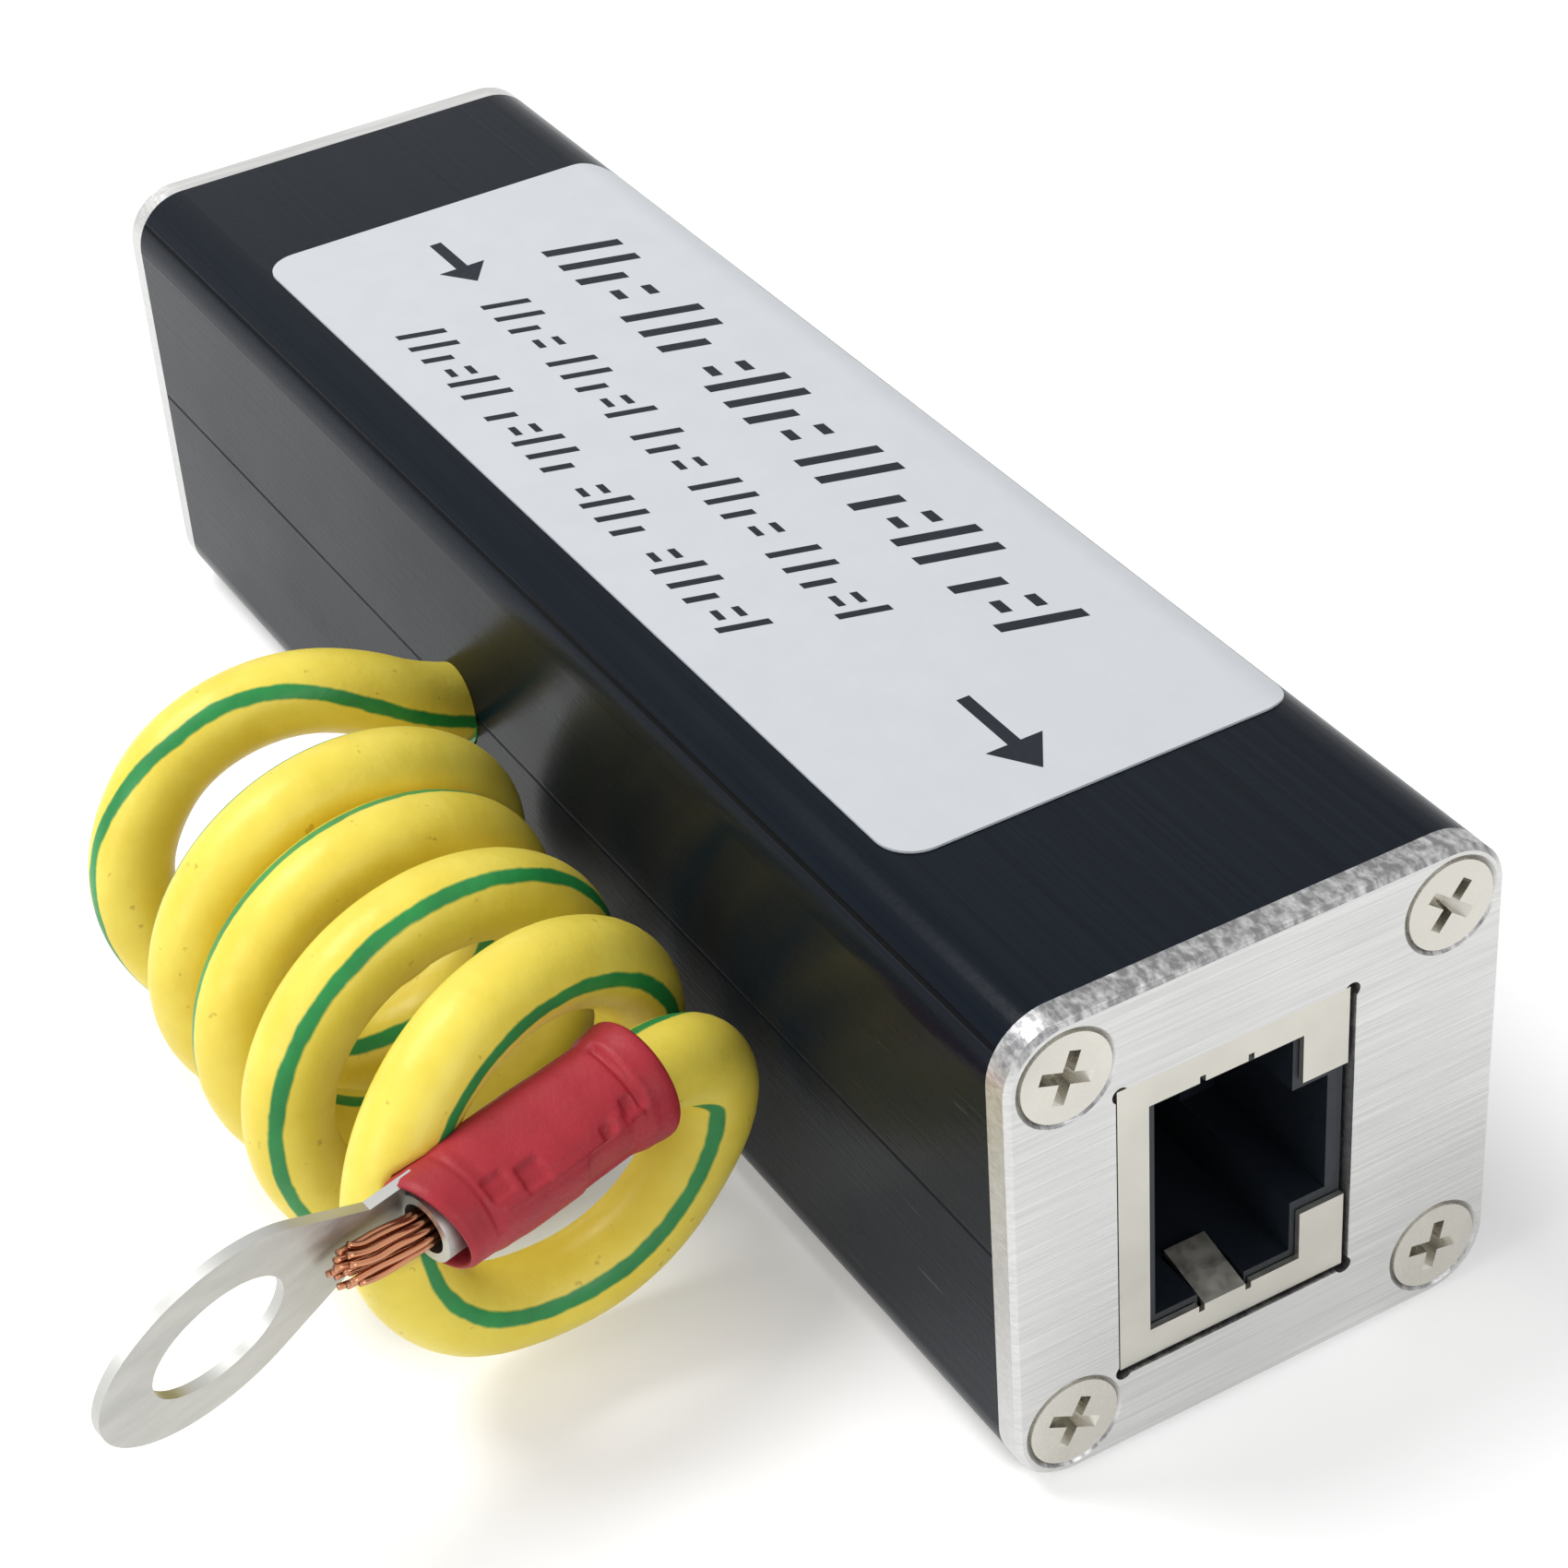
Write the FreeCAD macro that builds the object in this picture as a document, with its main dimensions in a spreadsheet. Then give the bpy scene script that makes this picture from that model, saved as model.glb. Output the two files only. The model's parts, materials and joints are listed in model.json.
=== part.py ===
import FreeCAD, Part
import math
import os
import Sketcher

# In-line surge protector for a network cable: an extruded tube with two end
# plates, a board with a jack at each end, and an earthing wire that leaves the
# side wall. X runs along the tube towards the OUT end, Z is up, and the origin
# is at the middle of the tube's underside. Lengths are in millimetres.

Vector = FreeCAD.Vector
os.makedirs("parts", exist_ok=True)
doc = FreeCAD.newDocument("surge_protector")

# Driving dimensions

SIZES = {
    # extruded tube
    "bodyLength": 88.4,
    "bodyWidth": 25.6,
    "bodyHeight": 25.6,
    "wallThickness": 1.4,
    "bodyEdgeRadius": 3.0,
    # screw ports and their screws
    "screwInset": 2.95,
    "portBossRadius": 2.5,
    "portSlotWidth": 1.0,
    "screwShankRadius": 1.2,
    "screwShankLength": 6.5,
    "screwTipLength": 0.8,
    "screwHeadRadius": 2.25,
    "screwRimHeight": 0.25,
    "screwClearance": 0.05,
    "recessReach": 1.35,
    "recessWidth": 0.6,
    "recessDepth": 1.0,
    "recessFloorShare": 0.45,
    # end plates
    "plateThickness": 1.5,
    "plateBevel": 0.25,
    "plateScrewHoleRadius": 1.4,
    "countersinkDepth": 1.1,
    "jackHoleClearance": 0.2,
    "reliefRadius": 0.42,
    "reliefInset": 0.25,
    # jacks, seen from the front: width is across, height is off the board, and
    # the centre's level is from the tube's middle, as all levels on the board are
    "jackWidth": 16.0,
    "jackHeight": 12.0,
    "jackDepth": 18.0,
    "jackCentreZ": -0.35,
    "jackRecess": 0.2,
    "shieldThickness": 0.3,
    "shieldGap": 0.05,
    "mouthWidth": 12.9,
    "mouthTop": 10.4,
    "mouthBottom": 2.4,
    "latchSlotWidth": 7.6,
    "springOffset": 6.4,
    "springWidth": 2.2,
    "springSlot": 0.3,
    "springNotch": 0.35,
    "springRoom": 0.15,
    "springLength": 3.1,
    "springRise": 0.8,
    "shieldLegWidth": 1.5,
    "shieldLegBack": 9.0,
    "plugWidth": 12.1,
    "plugTop": 9.9,
    "plugBottom": 2.7,
    "plugDepth": 12.4,
    "latchPathWidth": 6.5,
    "latchPathDepth": 8.6,
    "latchPathFloor": 0.8,
    "pegRadius": 1.6,
    "pegLength": 2.6,
    "pegSpacing": 11.4,
    "pegBack": 6.2,
    # contacts and the insert that carries them
    "contactPitch": 1.02,
    "contactWidth": 0.46,
    "contactThickness": 0.3,
    "contactGap": 0.07,
    "contactCrown": 10.9,
    "contactNose": 3.2,
    "contactSpringDrop": 3.0,
    "contactSpringReach": 7.2,
    "contactRowBack": 14.9,
    "contactRowStagger": 1.3,
    "carrierWidth": 10.6,
    "carrierFront": 13.4,
    "carrierBack": 17.2,
    "carrierGap": 0.05,
    "pinLength": 2.8,
    # board
    "boardFaceY": 4.73,
    "boardThickness": 1.6,
    "boardEndGap": 0.4,
    "boardSideGap": 0.15,
    "guideThickness": 1.0,
    "guideHeight": 1.1,
    "guideGap": 0.1,
    "holeClearance": 0.12,
    # protection parts on the board
    "tubeRadius": 3.5,
    "tubeCeramicRadius": 3.3,
    "tubeCapLength": 1.0,
    "tubeCeramicLength": 2.9,
    "tubeRingRadius": 3.7,
    "tubeRingLength": 1.6,
    "tubeStandOff": 0.6,
    "tubeLeadRadius": 0.4,
    "leadProud": 1.2,
    "tubeFirstX": -21.5,
    "tubeSecondX": -13.5,
    "tubeThirdX": 2.5,
    "tubeFourthX": 10.5,
    "diodeFirstX": 18.0,
    "diodeSecondX": 23.5,
    "diodeLowZ": -4.6,
    "diodeHighZ": 3.9,
    "diodeLength": 4.6,
    "diodeWidth": 3.8,
    "diodeHeight": 2.3,
    "diodeBevel": 0.5,
    "diodeFootLength": 0.9,
    "diodeFootWidth": 2.0,
    "diodeFootHeight": 0.25,
    "diodeFootOverlap": 0.4,
    # label on the top
    "labelLength": 66.0,
    "labelNearY": -9.8,
    "labelFarY": 11.4,
    "labelCornerRadius": 1.9,
    "labelThickness": 0.12,
    # earthing wire
    "wireRadius": 2.15,
    "wireHoleClearance": 0.15,
    "wireExitX": -6.2,
    "wireExitZ": -0.1,
    "wireInnerEndY": 0.6,
    "conductorRadius": 1.15,
    "solderRadius": 2.2,
    "solderHeight": 0.9,
    # coil of the wire beside the tube
    "coilStartX": -7.7,
    "coilEndX": 27.7,
    "coilCentreY": -24.5,
    "coilCentreZ": 10.4,
    "turnRadius": 8.15,
    "coilEntryY": -15.6,
    "coilEntryRoom": 2.6,
    "coilFrontSlack": 0.35,
    "coilStepX": 23.3,
    "coilStepY": -22.0,
    "coilStepZ": 7.0,
    # ring terminal and its sleeve
    "ringOuterRadius": 6.2,
    "ringHoleRadius": 3.45,
    "terminalThickness": 0.5,
    "terminalGap": 0.1,
    "ringCentreX": 30.4,
    "ringCentreY": -42.27,
    "ringCentreZ": 13.78,
    "terminalHeading": 103.4,
    "terminalSlope": 2.7,
    "terminalRoll": 109.8,
    "neckWidth": 3.8,
    "neckStart": 8.0,
    "barrelStart": 10.0,
    "barrelLength": 7.4,
    "barrelAxisHeight": 1.6,
    "barrelOuterRadius": 1.7,
    "barrelInnerRadius": 1.25,
    "jacketInset": 0.5,
    "sleeveStart": 10.7,
    "sleeveLength": 11.7,
    "sleeveRadius": 2.65,
    "sleeveFlareRadius": 2.95,
    "sleeveFlareLength": 3.4,
    "sleeveGap": 0.05,
    "crimpHeight": 2.35,
    "crimpLength": 2.6,
    "crimpFirst": 13.1,
    "crimpSecond": 17.0,
    "strandRadius": 0.22,
    "strandLength": 4.9,
    "strandSpread": 0.42,
}


def makeSheet(sizes):
    sheet = doc.addObject("Spreadsheet::Sheet", "Sizes")
    for row, (word, size) in enumerate(sizes.items(), start=1):
        sheet.set("A%d" % row, word)
        sheet.set("B%d" % row, str(size))
        sheet.setAlias("B%d" % row, word)
    doc.recompute()
    return sheet


sheet = makeSheet(SIZES)
subParts = []


def size(word):
    return float(getattr(sheet, word))


# Each word of a rule that is a cell of the sheet gets the sheet's name
def cells(text):
    out = ""
    word = ""
    for letter in text + " ":
        if letter.isalnum():
            word += letter
            continue
        out += ("Sizes." + word if word in SIZES else word) + letter
        word = ""
    return out.strip()


def bind(thing, **rules):
    for key, rule in rules.items():
        thing.setExpression(key.replace("_", "."), cells(rule))


def place(thing, x="0", y="0", z="0"):
    bind(thing, Placement_Base_x=x, Placement_Base_y=y, Placement_Base_z=z)


def turn(thing, axis, degrees):
    spot = thing.Placement
    spot.Rotation = FreeCAD.Rotation(Vector(*axis), degrees)
    thing.Placement = spot


def keep(thing, label):
    thing.Label = label
    subParts.append(thing)
    return thing


# Sketch helpers: each corner or centre is a pair of sheet formulas


def makeBody(label):
    body = doc.addObject("PartDesign::Body", label + "_body")
    return keep(body, label)


def makeSketch(body, name, role, out="0"):
    sketch = body.newObject("Sketcher::SketchObject", name)
    face = next(item for item in body.Origin.OriginFeatures if item.Role == role)
    sketch.AttachmentSupport = [(face, "")]
    sketch.MapMode = "FlatFace"
    bind(sketch, AttachmentOffset_Base_z=out)
    return sketch


def pin(sketch, edge, spot, across, up):
    index = sketch.addConstraint(Sketcher.Constraint("DistanceX", -1, 1, edge, spot, 1.0))
    sketch.setExpression("Constraints[%d]" % index, cells(across))
    index = sketch.addConstraint(Sketcher.Constraint("DistanceY", -1, 1, edge, spot, 1.0))
    sketch.setExpression("Constraints[%d]" % index, cells(up))


def drawPolygon(sketch, corners):
    first = sketch.GeometryCount
    count = len(corners)
    rough = []
    for step in range(count):
        angle = 2.0 * math.pi * step / count
        rough.append(Vector(10.0 * math.cos(angle), 10.0 * math.sin(angle), 0.0))
    for step in range(count):
        sketch.addGeometry(Part.LineSegment(rough[step], rough[(step + 1) % count]))
    for step in range(count):
        following = first + (step + 1) % count
        sketch.addConstraint(Sketcher.Constraint("Coincident", first + step, 2, following, 1))
    for step, (across, up) in enumerate(corners):
        pin(sketch, first + step, 1, across, up)


def drawRectangle(sketch, left, low, right, high):
    drawPolygon(sketch, [(left, low), (right, low), (right, high), (left, high)])


def drawCircle(sketch, across, up, radius):
    circle = Part.Circle(Vector(1.0, 1.0, 0.0), Vector(0.0, 0.0, 1.0), 1.0)
    index = sketch.addGeometry(circle)
    pin(sketch, index, 3, across, up)
    rule = sketch.addConstraint(Sketcher.Constraint("Radius", index, 1.0))
    sketch.setExpression("Constraints[%d]" % rule, cells(radius))


def pad(body, sketch, length, midplane=False, backwards=False):
    feature = body.newObject("PartDesign::Pad", sketch.Name + "_pad")
    feature.Profile = sketch
    feature.Midplane = midplane
    feature.Reversed = backwards
    bind(feature, Length=length)
    sketch.Visibility = False
    return feature


def pocket(body, sketch, length, midplane=False, backwards=False):
    feature = body.newObject("PartDesign::Pocket", sketch.Name + "_pocket")
    feature.Profile = sketch
    feature.Midplane = midplane
    feature.Reversed = backwards
    bind(feature, Length=length)
    return feature


def edgesWhere(shape, test):
    return ["Edge%d" % (i + 1) for i, edge in enumerate(shape.Edges) if test(edge)]


def dress(body, kind, base, edges, rule):
    feature = body.newObject("PartDesign::" + kind, body.Name + "_" + kind.lower())
    feature.Base = (base, edges)
    if kind == "Fillet":
        bind(feature, Radius=rule)
    else:
        bind(feature, Size=rule)
    doc.recompute()
    return feature


def runsAlong(edge, axis):
    if not isinstance(edge.Curve, Part.Line):
        return False
    return abs(edge.Curve.Direction.dot(Vector(*axis))) > 0.999


# Extruded tube: wall, screw ports, board guides and wire hole

HALF_WIDTH = "bodyWidth / 2"
JACK_LEVEL = "(bodyHeight / 2 + jackCentreZ)"
EXIT_LEVEL = "(bodyHeight / 2 + wireExitZ)"
PORT_SIDES = [(-1, -1), (1, -1), (1, 1), (-1, 1)]


def portCentre(side, level):
    across = "%d * (bodyWidth / 2 - screwInset)" % side
    up = "bodyHeight / 2 + %d * (bodyHeight / 2 - screwInset)" % level
    return across, up


def makeHousing():
    body = makeBody("housing")
    outline = makeSketch(body, "tube_outline", "YZ_Plane")
    drawRectangle(outline, "-" + HALF_WIDTH, "0", HALF_WIDTH, "bodyHeight")
    run = pad(body, outline, "bodyLength", midplane=True)
    doc.recompute()
    corners = edgesWhere(run.Shape, lambda edge: runsAlong(edge, (1, 0, 0)))
    dress(body, "Fillet", run, corners, "bodyEdgeRadius")

    inside = makeSketch(body, "tube_cavity", "YZ_Plane")
    side = HALF_WIDTH + " - wallThickness"
    drawRectangle(inside, "-(" + side + ")", "wallThickness", side, "bodyHeight - wallThickness")
    pocket(body, inside, "bodyLength + 2", midplane=True)

    bosses = makeSketch(body, "port_bosses", "YZ_Plane")
    for across, up in [portCentre(*port) for port in PORT_SIDES]:
        drawCircle(bosses, across, up, "portBossRadius")
    pad(body, bosses, "bodyLength", midplane=True)

    guides = makeSketch(body, "board_guides", "YZ_Plane")
    front = ("boardFaceY - guideGap - guideThickness", "boardFaceY - guideGap")
    back = (
        "boardFaceY + boardThickness + guideGap",
        "boardFaceY + boardThickness + guideGap + guideThickness",
    )
    floorTop = "wallThickness + guideHeight"
    roofLow = "bodyHeight - wallThickness - guideHeight"
    for left, right in (front, back):
        drawRectangle(guides, left, "wallThickness / 2", right, floorTop)
        drawRectangle(guides, left, roofLow, right, "bodyHeight - wallThickness / 2")
    pad(body, guides, "bodyLength", midplane=True)

    ports = makeSketch(body, "screw_ports", "YZ_Plane")
    for across, up in [portCentre(*port) for port in PORT_SIDES]:
        drawCircle(ports, across, up, "screwShankRadius + screwClearance")
    pocket(body, ports, "bodyLength + 2", midplane=True)

    slots = makeSketch(body, "port_slots", "YZ_Plane")
    for sideSign, level in PORT_SIDES:
        across, up = portCentre(sideSign, level)
        tip = across + " - %d * (portBossRadius + 0.2)" % sideSign
        left, right = (across, tip) if sideSign < 0 else (tip, across)
        drawRectangle(slots, left, up + " - portSlotWidth / 2", right, up + " + portSlotWidth / 2")
    pocket(body, slots, "bodyLength + 2", midplane=True)

    wireHole = makeSketch(body, "wire_hole", "XZ_Plane", out=HALF_WIDTH)
    drawCircle(wireHole, "wireExitX", EXIT_LEVEL, "wireRadius + wireHoleClearance")
    pocket(body, wireHole, "wallThickness + 1")
    return body


# End plates: bevelled rectangles with a jack opening and four countersunk holes


def makeEndPlate(label, sign):
    body = makeBody(label)
    start = "%d * bodyLength / 2" % sign
    inward = sign < 0
    outline = makeSketch(body, label + "_outline", "YZ_Plane", out=start)
    drawRectangle(outline, "-" + HALF_WIDTH, "0", HALF_WIDTH, "bodyHeight")
    slab = pad(body, outline, "plateThickness", backwards=inward)
    doc.recompute()
    corners = edgesWhere(slab.Shape, lambda edge: runsAlong(edge, (1, 0, 0)))
    rounded = dress(body, "Fillet", slab, corners, "bodyEdgeRadius")

    outerFace = sign * (size("bodyLength") / 2 + size("plateThickness"))
    rim = edgesWhere(rounded.Shape, lambda edge: abs(edge.CenterOfMass.x - outerFace) < 1e-6)
    dress(body, "Chamfer", rounded, rim, "plateBevel")

    opening = makeSketch(body, label + "_opening", "YZ_Plane", out=start)
    left = "boardFaceY - jackHeight - jackHoleClearance"
    right = "boardFaceY + jackHoleClearance"
    low = JACK_LEVEL + " - jackWidth / 2 - jackHoleClearance"
    high = JACK_LEVEL + " + jackWidth / 2 + jackHoleClearance"
    drawRectangle(opening, left, low, right, high)
    pocket(body, opening, "plateThickness * 2 + 1", midplane=True)

    sides = (left + " + reliefInset", right + " - reliefInset")
    levels = (low + " + reliefInset", high + " - reliefInset")
    spots = [(across, up) for across in sides for up in levels]
    for number, (across, up) in enumerate(spots):
        relief = makeSketch(body, label + "_relief_%d" % number, "YZ_Plane", out=start)
        drawCircle(relief, across, up, "reliefRadius")
        pocket(body, relief, "plateThickness * 2 + 1", midplane=True)

    holes = makeSketch(body, label + "_screw_holes", "YZ_Plane", out=start)
    for across, up in [portCentre(*port) for port in PORT_SIDES]:
        drawCircle(holes, across, up, "plateScrewHoleRadius")
    pocket(body, holes, "plateThickness * 2 + 1", midplane=True)
    for number, (across, up) in enumerate([portCentre(*port) for port in PORT_SIDES]):
        sink = body.newObject("PartDesign::SubtractiveCone", label + "_countersink_%d" % number)
        bind(sink, Radius1="plateScrewHoleRadius + countersinkDepth")
        bind(sink, Radius2="plateScrewHoleRadius", Height="countersinkDepth")
        turn(sink, (0, 1, 0), -90 * sign)
        place(sink, x="%d * (bodyLength / 2 + plateThickness)" % sign, y=across, z=up)
    doc.recompute()
    return body


# Countersunk screws with a cross recess, four in a plate


def makeScrew(label, sign, port, recessTurn):
    coneDepth = "(screwHeadRadius - screwShankRadius)"
    head = doc.addObject("Part::Cone", label + "_head")
    bind(head, Radius1="screwHeadRadius", Radius2="screwShankRadius", Height=coneDepth)
    place(head, z="screwRimHeight")
    rim = doc.addObject("Part::Cylinder", label + "_rim")
    bind(rim, Radius="screwHeadRadius", Height="screwRimHeight")
    shank = doc.addObject("Part::Cylinder", label + "_shank")
    bind(shank, Radius="screwShankRadius", Height="screwShankLength")
    place(shank, z="screwRimHeight + " + coneDepth)
    tip = doc.addObject("Part::Cone", label + "_tip")
    bind(tip, Radius1="screwShankRadius", Radius2="screwShankRadius / 2", Height="screwTipLength")
    place(tip, z="screwRimHeight + screwShankLength + " + coneDepth)
    blank = doc.addObject("Part::MultiFuse", label + "_blank")
    blank.Shapes = [rim, head, shank, tip]
    blank.Refine = True

    blades = []
    for number in range(2):
        blade = doc.addObject("Part::Wedge", label + "_blade_%d" % number)
        bind(blade, Xmin="-recessReach", Xmax="recessReach", Ymin="0", Ymax="recessDepth")
        bind(blade, Zmin="-recessWidth / 2", Zmax="recessWidth / 2")
        bind(blade, X2min="-recessReach * recessFloorShare", X2max="recessReach * recessFloorShare")
        bind(blade, Z2min="-recessWidth / 3", Z2max="recessWidth / 3")
        upright = FreeCAD.Rotation(Vector(1, 0, 0), 90)
        spin = FreeCAD.Rotation(Vector(0, 0, 1), recessTurn + 90 * number)
        blade.Placement = FreeCAD.Placement(Vector(0, 0, 0), spin.multiply(upright))
        blades.append(blade)
    cross = doc.addObject("Part::MultiFuse", label + "_cross")
    cross.Shapes = blades
    screw = doc.addObject("Part::Cut", label)
    screw.Base = blank
    screw.Tool = cross
    turn(screw, (0, 1, 0), -90 * sign)
    across, up = portCentre(*port)
    sunk = "(plateScrewHoleRadius + countersinkDepth - screwHeadRadius - screwRimHeight)"
    top = "%d * (bodyLength / 2 + plateThickness - %s)" % (sign, sunk)
    place(screw, x=top, y=across, z=up)
    return screw


def makeScrewSet(label, sign, turns):
    screws = []
    for number, (port, recessTurn) in enumerate(zip(PORT_SIDES, turns)):
        screws.append(makeScrew("%s_%d" % (label, number + 1), sign, port, recessTurn))
    group = doc.addObject("Part::Compound", label + "_group")
    group.Links = screws
    return keep(group, label)


# Printed label: a thin skin on the top that wraps over the far edge


def makeRoundedBar(name, length, grown):
    body = doc.addObject("PartDesign::Body", name)
    outline = makeSketch(body, name + "_outline", "YZ_Plane")
    side = HALF_WIDTH + " + " + grown
    drawRectangle(outline, "-(" + side + ")", "0", side, "bodyHeight + " + grown)
    run = pad(body, outline, length, midplane=True)
    doc.recompute()
    corners = edgesWhere(run.Shape, lambda edge: runsAlong(edge, (1, 0, 0)))
    dress(body, "Fillet", run, corners, "bodyEdgeRadius + " + grown)
    return body


def makeLabel():
    cover = makeRoundedBar("label_cover", "labelLength + 2", "labelThickness")
    core = makeRoundedBar("label_core", "labelLength + 4", "0")
    skin = doc.addObject("Part::Cut", "label_skin")
    skin.Base = cover
    skin.Tool = core
    cutter = doc.addObject("PartDesign::Body", "label_cutter")
    plan = makeSketch(cutter, "label_plan", "XY_Plane", out="bodyHeight / 2")
    drawRectangle(plan, "-labelLength / 2", "labelNearY", "labelLength / 2", "labelFarY")
    block = pad(cutter, plan, "bodyHeight")
    doc.recompute()
    upright = edgesWhere(block.Shape, lambda edge: runsAlong(edge, (0, 0, 1)))
    dress(cutter, "Fillet", block, upright, "labelCornerRadius")
    label = doc.addObject("Part::Common", "label_sheet")
    label.Base = skin
    label.Tool = cutter
    return keep(label, "label")


# Jacks: drawn with the front at X 0, the board at Y 0 and the middle at Z 0

JACK_ENDS = [("out", 1), ("in", -1)]
JACK_FRONT = "(bodyLength / 2 + plateThickness - jackRecess)"
CONTACT_NUMBERS = range(1, 9)
SHIELD_INSET = "(shieldThickness + shieldGap)"
SLOT_HALF = "(contactWidth / 2 + contactGap)"
GROOVE_TOP = "(contactCrown + contactThickness / 2 + contactGap)"


def seatJackPiece(thing, sign):
    if sign < 0:
        turn(thing, (0, 1, 0), 180)
    place(thing, x="%d * %s" % (sign, JACK_FRONT), y="boardFaceY", z=JACK_LEVEL)


def contactZ(number):
    return "%.1f * contactPitch" % (number - 4.5)


def contactRow(number):
    if number % 2:
        return "contactRowBack"
    return "(contactRowBack + contactRowStagger)"


def makeShield(end, sign):
    label = end + "_jack_shield"
    body = makeBody(label)
    outline = makeSketch(body, label + "_outline", "YZ_Plane")
    drawRectangle(outline, "-jackHeight", "-jackWidth / 2", "0", "jackWidth / 2")
    pad(body, outline, "jackDepth", backwards=True)
    inside = makeSketch(body, label + "_inside", "YZ_Plane", out="-shieldThickness")
    side = "(jackWidth / 2 - shieldThickness)"
    drawRectangle(inside, "-(jackHeight - shieldThickness)", "-" + side, "1", side)
    pocket(body, inside, "jackDepth - 2 * shieldThickness")

    mouth = makeSketch(body, label + "_mouth", "YZ_Plane", out="1")
    wide = "mouthWidth / 2"
    slim = "latchSlotWidth / 2"
    left = [("-mouthTop", "-" + wide), ("-mouthBottom", "-" + wide)]
    slot = [("-mouthBottom", "-" + slim), ("1", "-" + slim), ("1", slim), ("-mouthBottom", slim)]
    drawPolygon(mouth, left + slot + [("-mouthBottom", wide), ("-mouthTop", wide)])
    pocket(body, mouth, "1 + shieldThickness * 1.5")

    notches = makeSketch(body, label + "_notches", "YZ_Plane", out="1")
    for side in (-1, 1):
        middle = "-springOffset + %d * (springWidth + springSlot) / 2" % side
        near = middle + " - springSlot / 2"
        far = middle + " + springSlot / 2"
        drawRectangle(notches, near, wide + " - 0.2", far, wide + " + springNotch")
        drawRectangle(notches, near, "-(" + wide + " + springNotch)", far, "-(" + wide + " - 0.2)")
    pocket(body, notches, "1 + shieldThickness * 1.5")

    springs = makeSketch(body, label + "_springs", "XZ_Plane", out="springOffset")
    for side in (1, -1):
        corners = [
            ("0", "mouthWidth / 2 + springNotch / 2"),
            ("0", "mouthWidth / 2"),
            ("-springLength", "mouthWidth / 2 - springRise"),
            ("-springLength", "mouthWidth / 2 - springRise + shieldThickness"),
            ("-shieldThickness", "mouthWidth / 2 + springNotch / 2"),
        ]
        drawPolygon(springs, [(back, "%d * (%s)" % (side, up)) for back, up in corners])
    pad(body, springs, "springWidth", midplane=True)

    for name, level in (("high", "jackWidth / 2 - shieldThickness"), ("low", "-jackWidth / 2")):
        leg = makeSketch(body, label + "_leg_" + name, "XY_Plane", out=level)
        back = "-shieldLegBack - shieldLegWidth / 2"
        drawRectangle(leg, back, "-1", "-shieldLegBack + shieldLegWidth / 2", "pinLength")
        pad(body, leg, "shieldThickness")
    seatJackPiece(body, sign)
    return body


def makeJackHousing(end, sign):
    label = end + "_jack_housing"
    body = makeBody(label)
    outline = makeSketch(body, label + "_outline", "YZ_Plane", out="-" + SHIELD_INSET)
    side = "(jackWidth / 2 - " + SHIELD_INSET + ")"
    drawRectangle(outline, "-(jackHeight - " + SHIELD_INSET + ")", "-" + side, "0", side)
    pad(body, outline, "jackDepth - 2 * " + SHIELD_INSET, backwards=True)

    plug = makeSketch(body, label + "_plug_cavity", "YZ_Plane")
    drawRectangle(plug, "-plugTop", "-plugWidth / 2", "-plugBottom", "plugWidth / 2")
    pocket(body, plug, "plugDepth")
    latch = makeSketch(body, label + "_latch_path", "YZ_Plane")
    half = "latchPathWidth / 2"
    drawRectangle(latch, "-plugBottom - 0.5", "-" + half, "-latchPathFloor", half)
    pocket(body, latch, "latchPathDepth")

    room = makeSketch(body, label + "_spring_room", "YZ_Plane")
    reach = "mouthWidth / 2 + shieldThickness + springRoom"
    near = "-springOffset - springWidth / 2 - springRoom"
    far = "-springOffset + springWidth / 2 + springRoom"
    drawRectangle(room, near, "-(" + reach + ")", far, reach)
    pocket(body, room, "springLength + springRoom")

    grooves = makeSketch(body, label + "_grooves", "YZ_Plane", out="-contactNose + 0.5")
    for number in CONTACT_NUMBERS:
        low = contactZ(number) + " - " + SLOT_HALF
        high = contactZ(number) + " + " + SLOT_HALF
        drawRectangle(grooves, "-" + GROOVE_TOP, low, "-plugTop + 0.5", high)
    pocket(body, grooves, "carrierFront - contactNose + 0.7")

    rear = makeSketch(body, label + "_rear_pocket", "YZ_Plane", out="-carrierFront + carrierGap")
    half = "carrierWidth / 2 + carrierGap"
    drawRectangle(rear, "-" + GROOVE_TOP, "-(" + half + ")", "1", half)
    pocket(body, rear, "jackDepth")

    pegs = makeSketch(body, label + "_pegs", "XZ_Plane")
    for side in (-1, 1):
        drawCircle(pegs, "-pegBack", "%d * pegSpacing / 2" % side, "pegRadius")
    pad(body, pegs, "pegLength", backwards=True)
    seatJackPiece(body, sign)
    return body


def makeCarrier(end, sign):
    label = end + "_contact_carrier"
    body = makeBody(label)
    outline = makeSketch(body, label + "_outline", "YZ_Plane", out="-carrierFront")
    top = "-(contactCrown + contactThickness / 2)"
    drawRectangle(outline, top, "-carrierWidth / 2", "0", "carrierWidth / 2")
    pad(body, outline, "carrierBack - carrierFront", backwards=True)
    rowFront = "-(contactRowBack - contactThickness / 2 - contactGap)"
    seats = makeSketch(body, label + "_seats", "XZ_Plane", out="contactCrown + 2")
    combs = makeSketch(body, label + "_combs", "XZ_Plane", out="contactCrown + 2")
    for number in CONTACT_NUMBERS:
        low = contactZ(number) + " - " + SLOT_HALF
        high = contactZ(number) + " + " + SLOT_HALF
        drawRectangle(seats, "-carrierBack - 1", low, "-carrierFront + 1", high)
        drawRectangle(combs, "-carrierBack - 1", low, rowFront, high)
    pocket(body, seats, "2 + contactThickness / 2 + contactGap")
    pocket(body, combs, "contactCrown + 4")
    seatJackPiece(body, sign)
    return body


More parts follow.
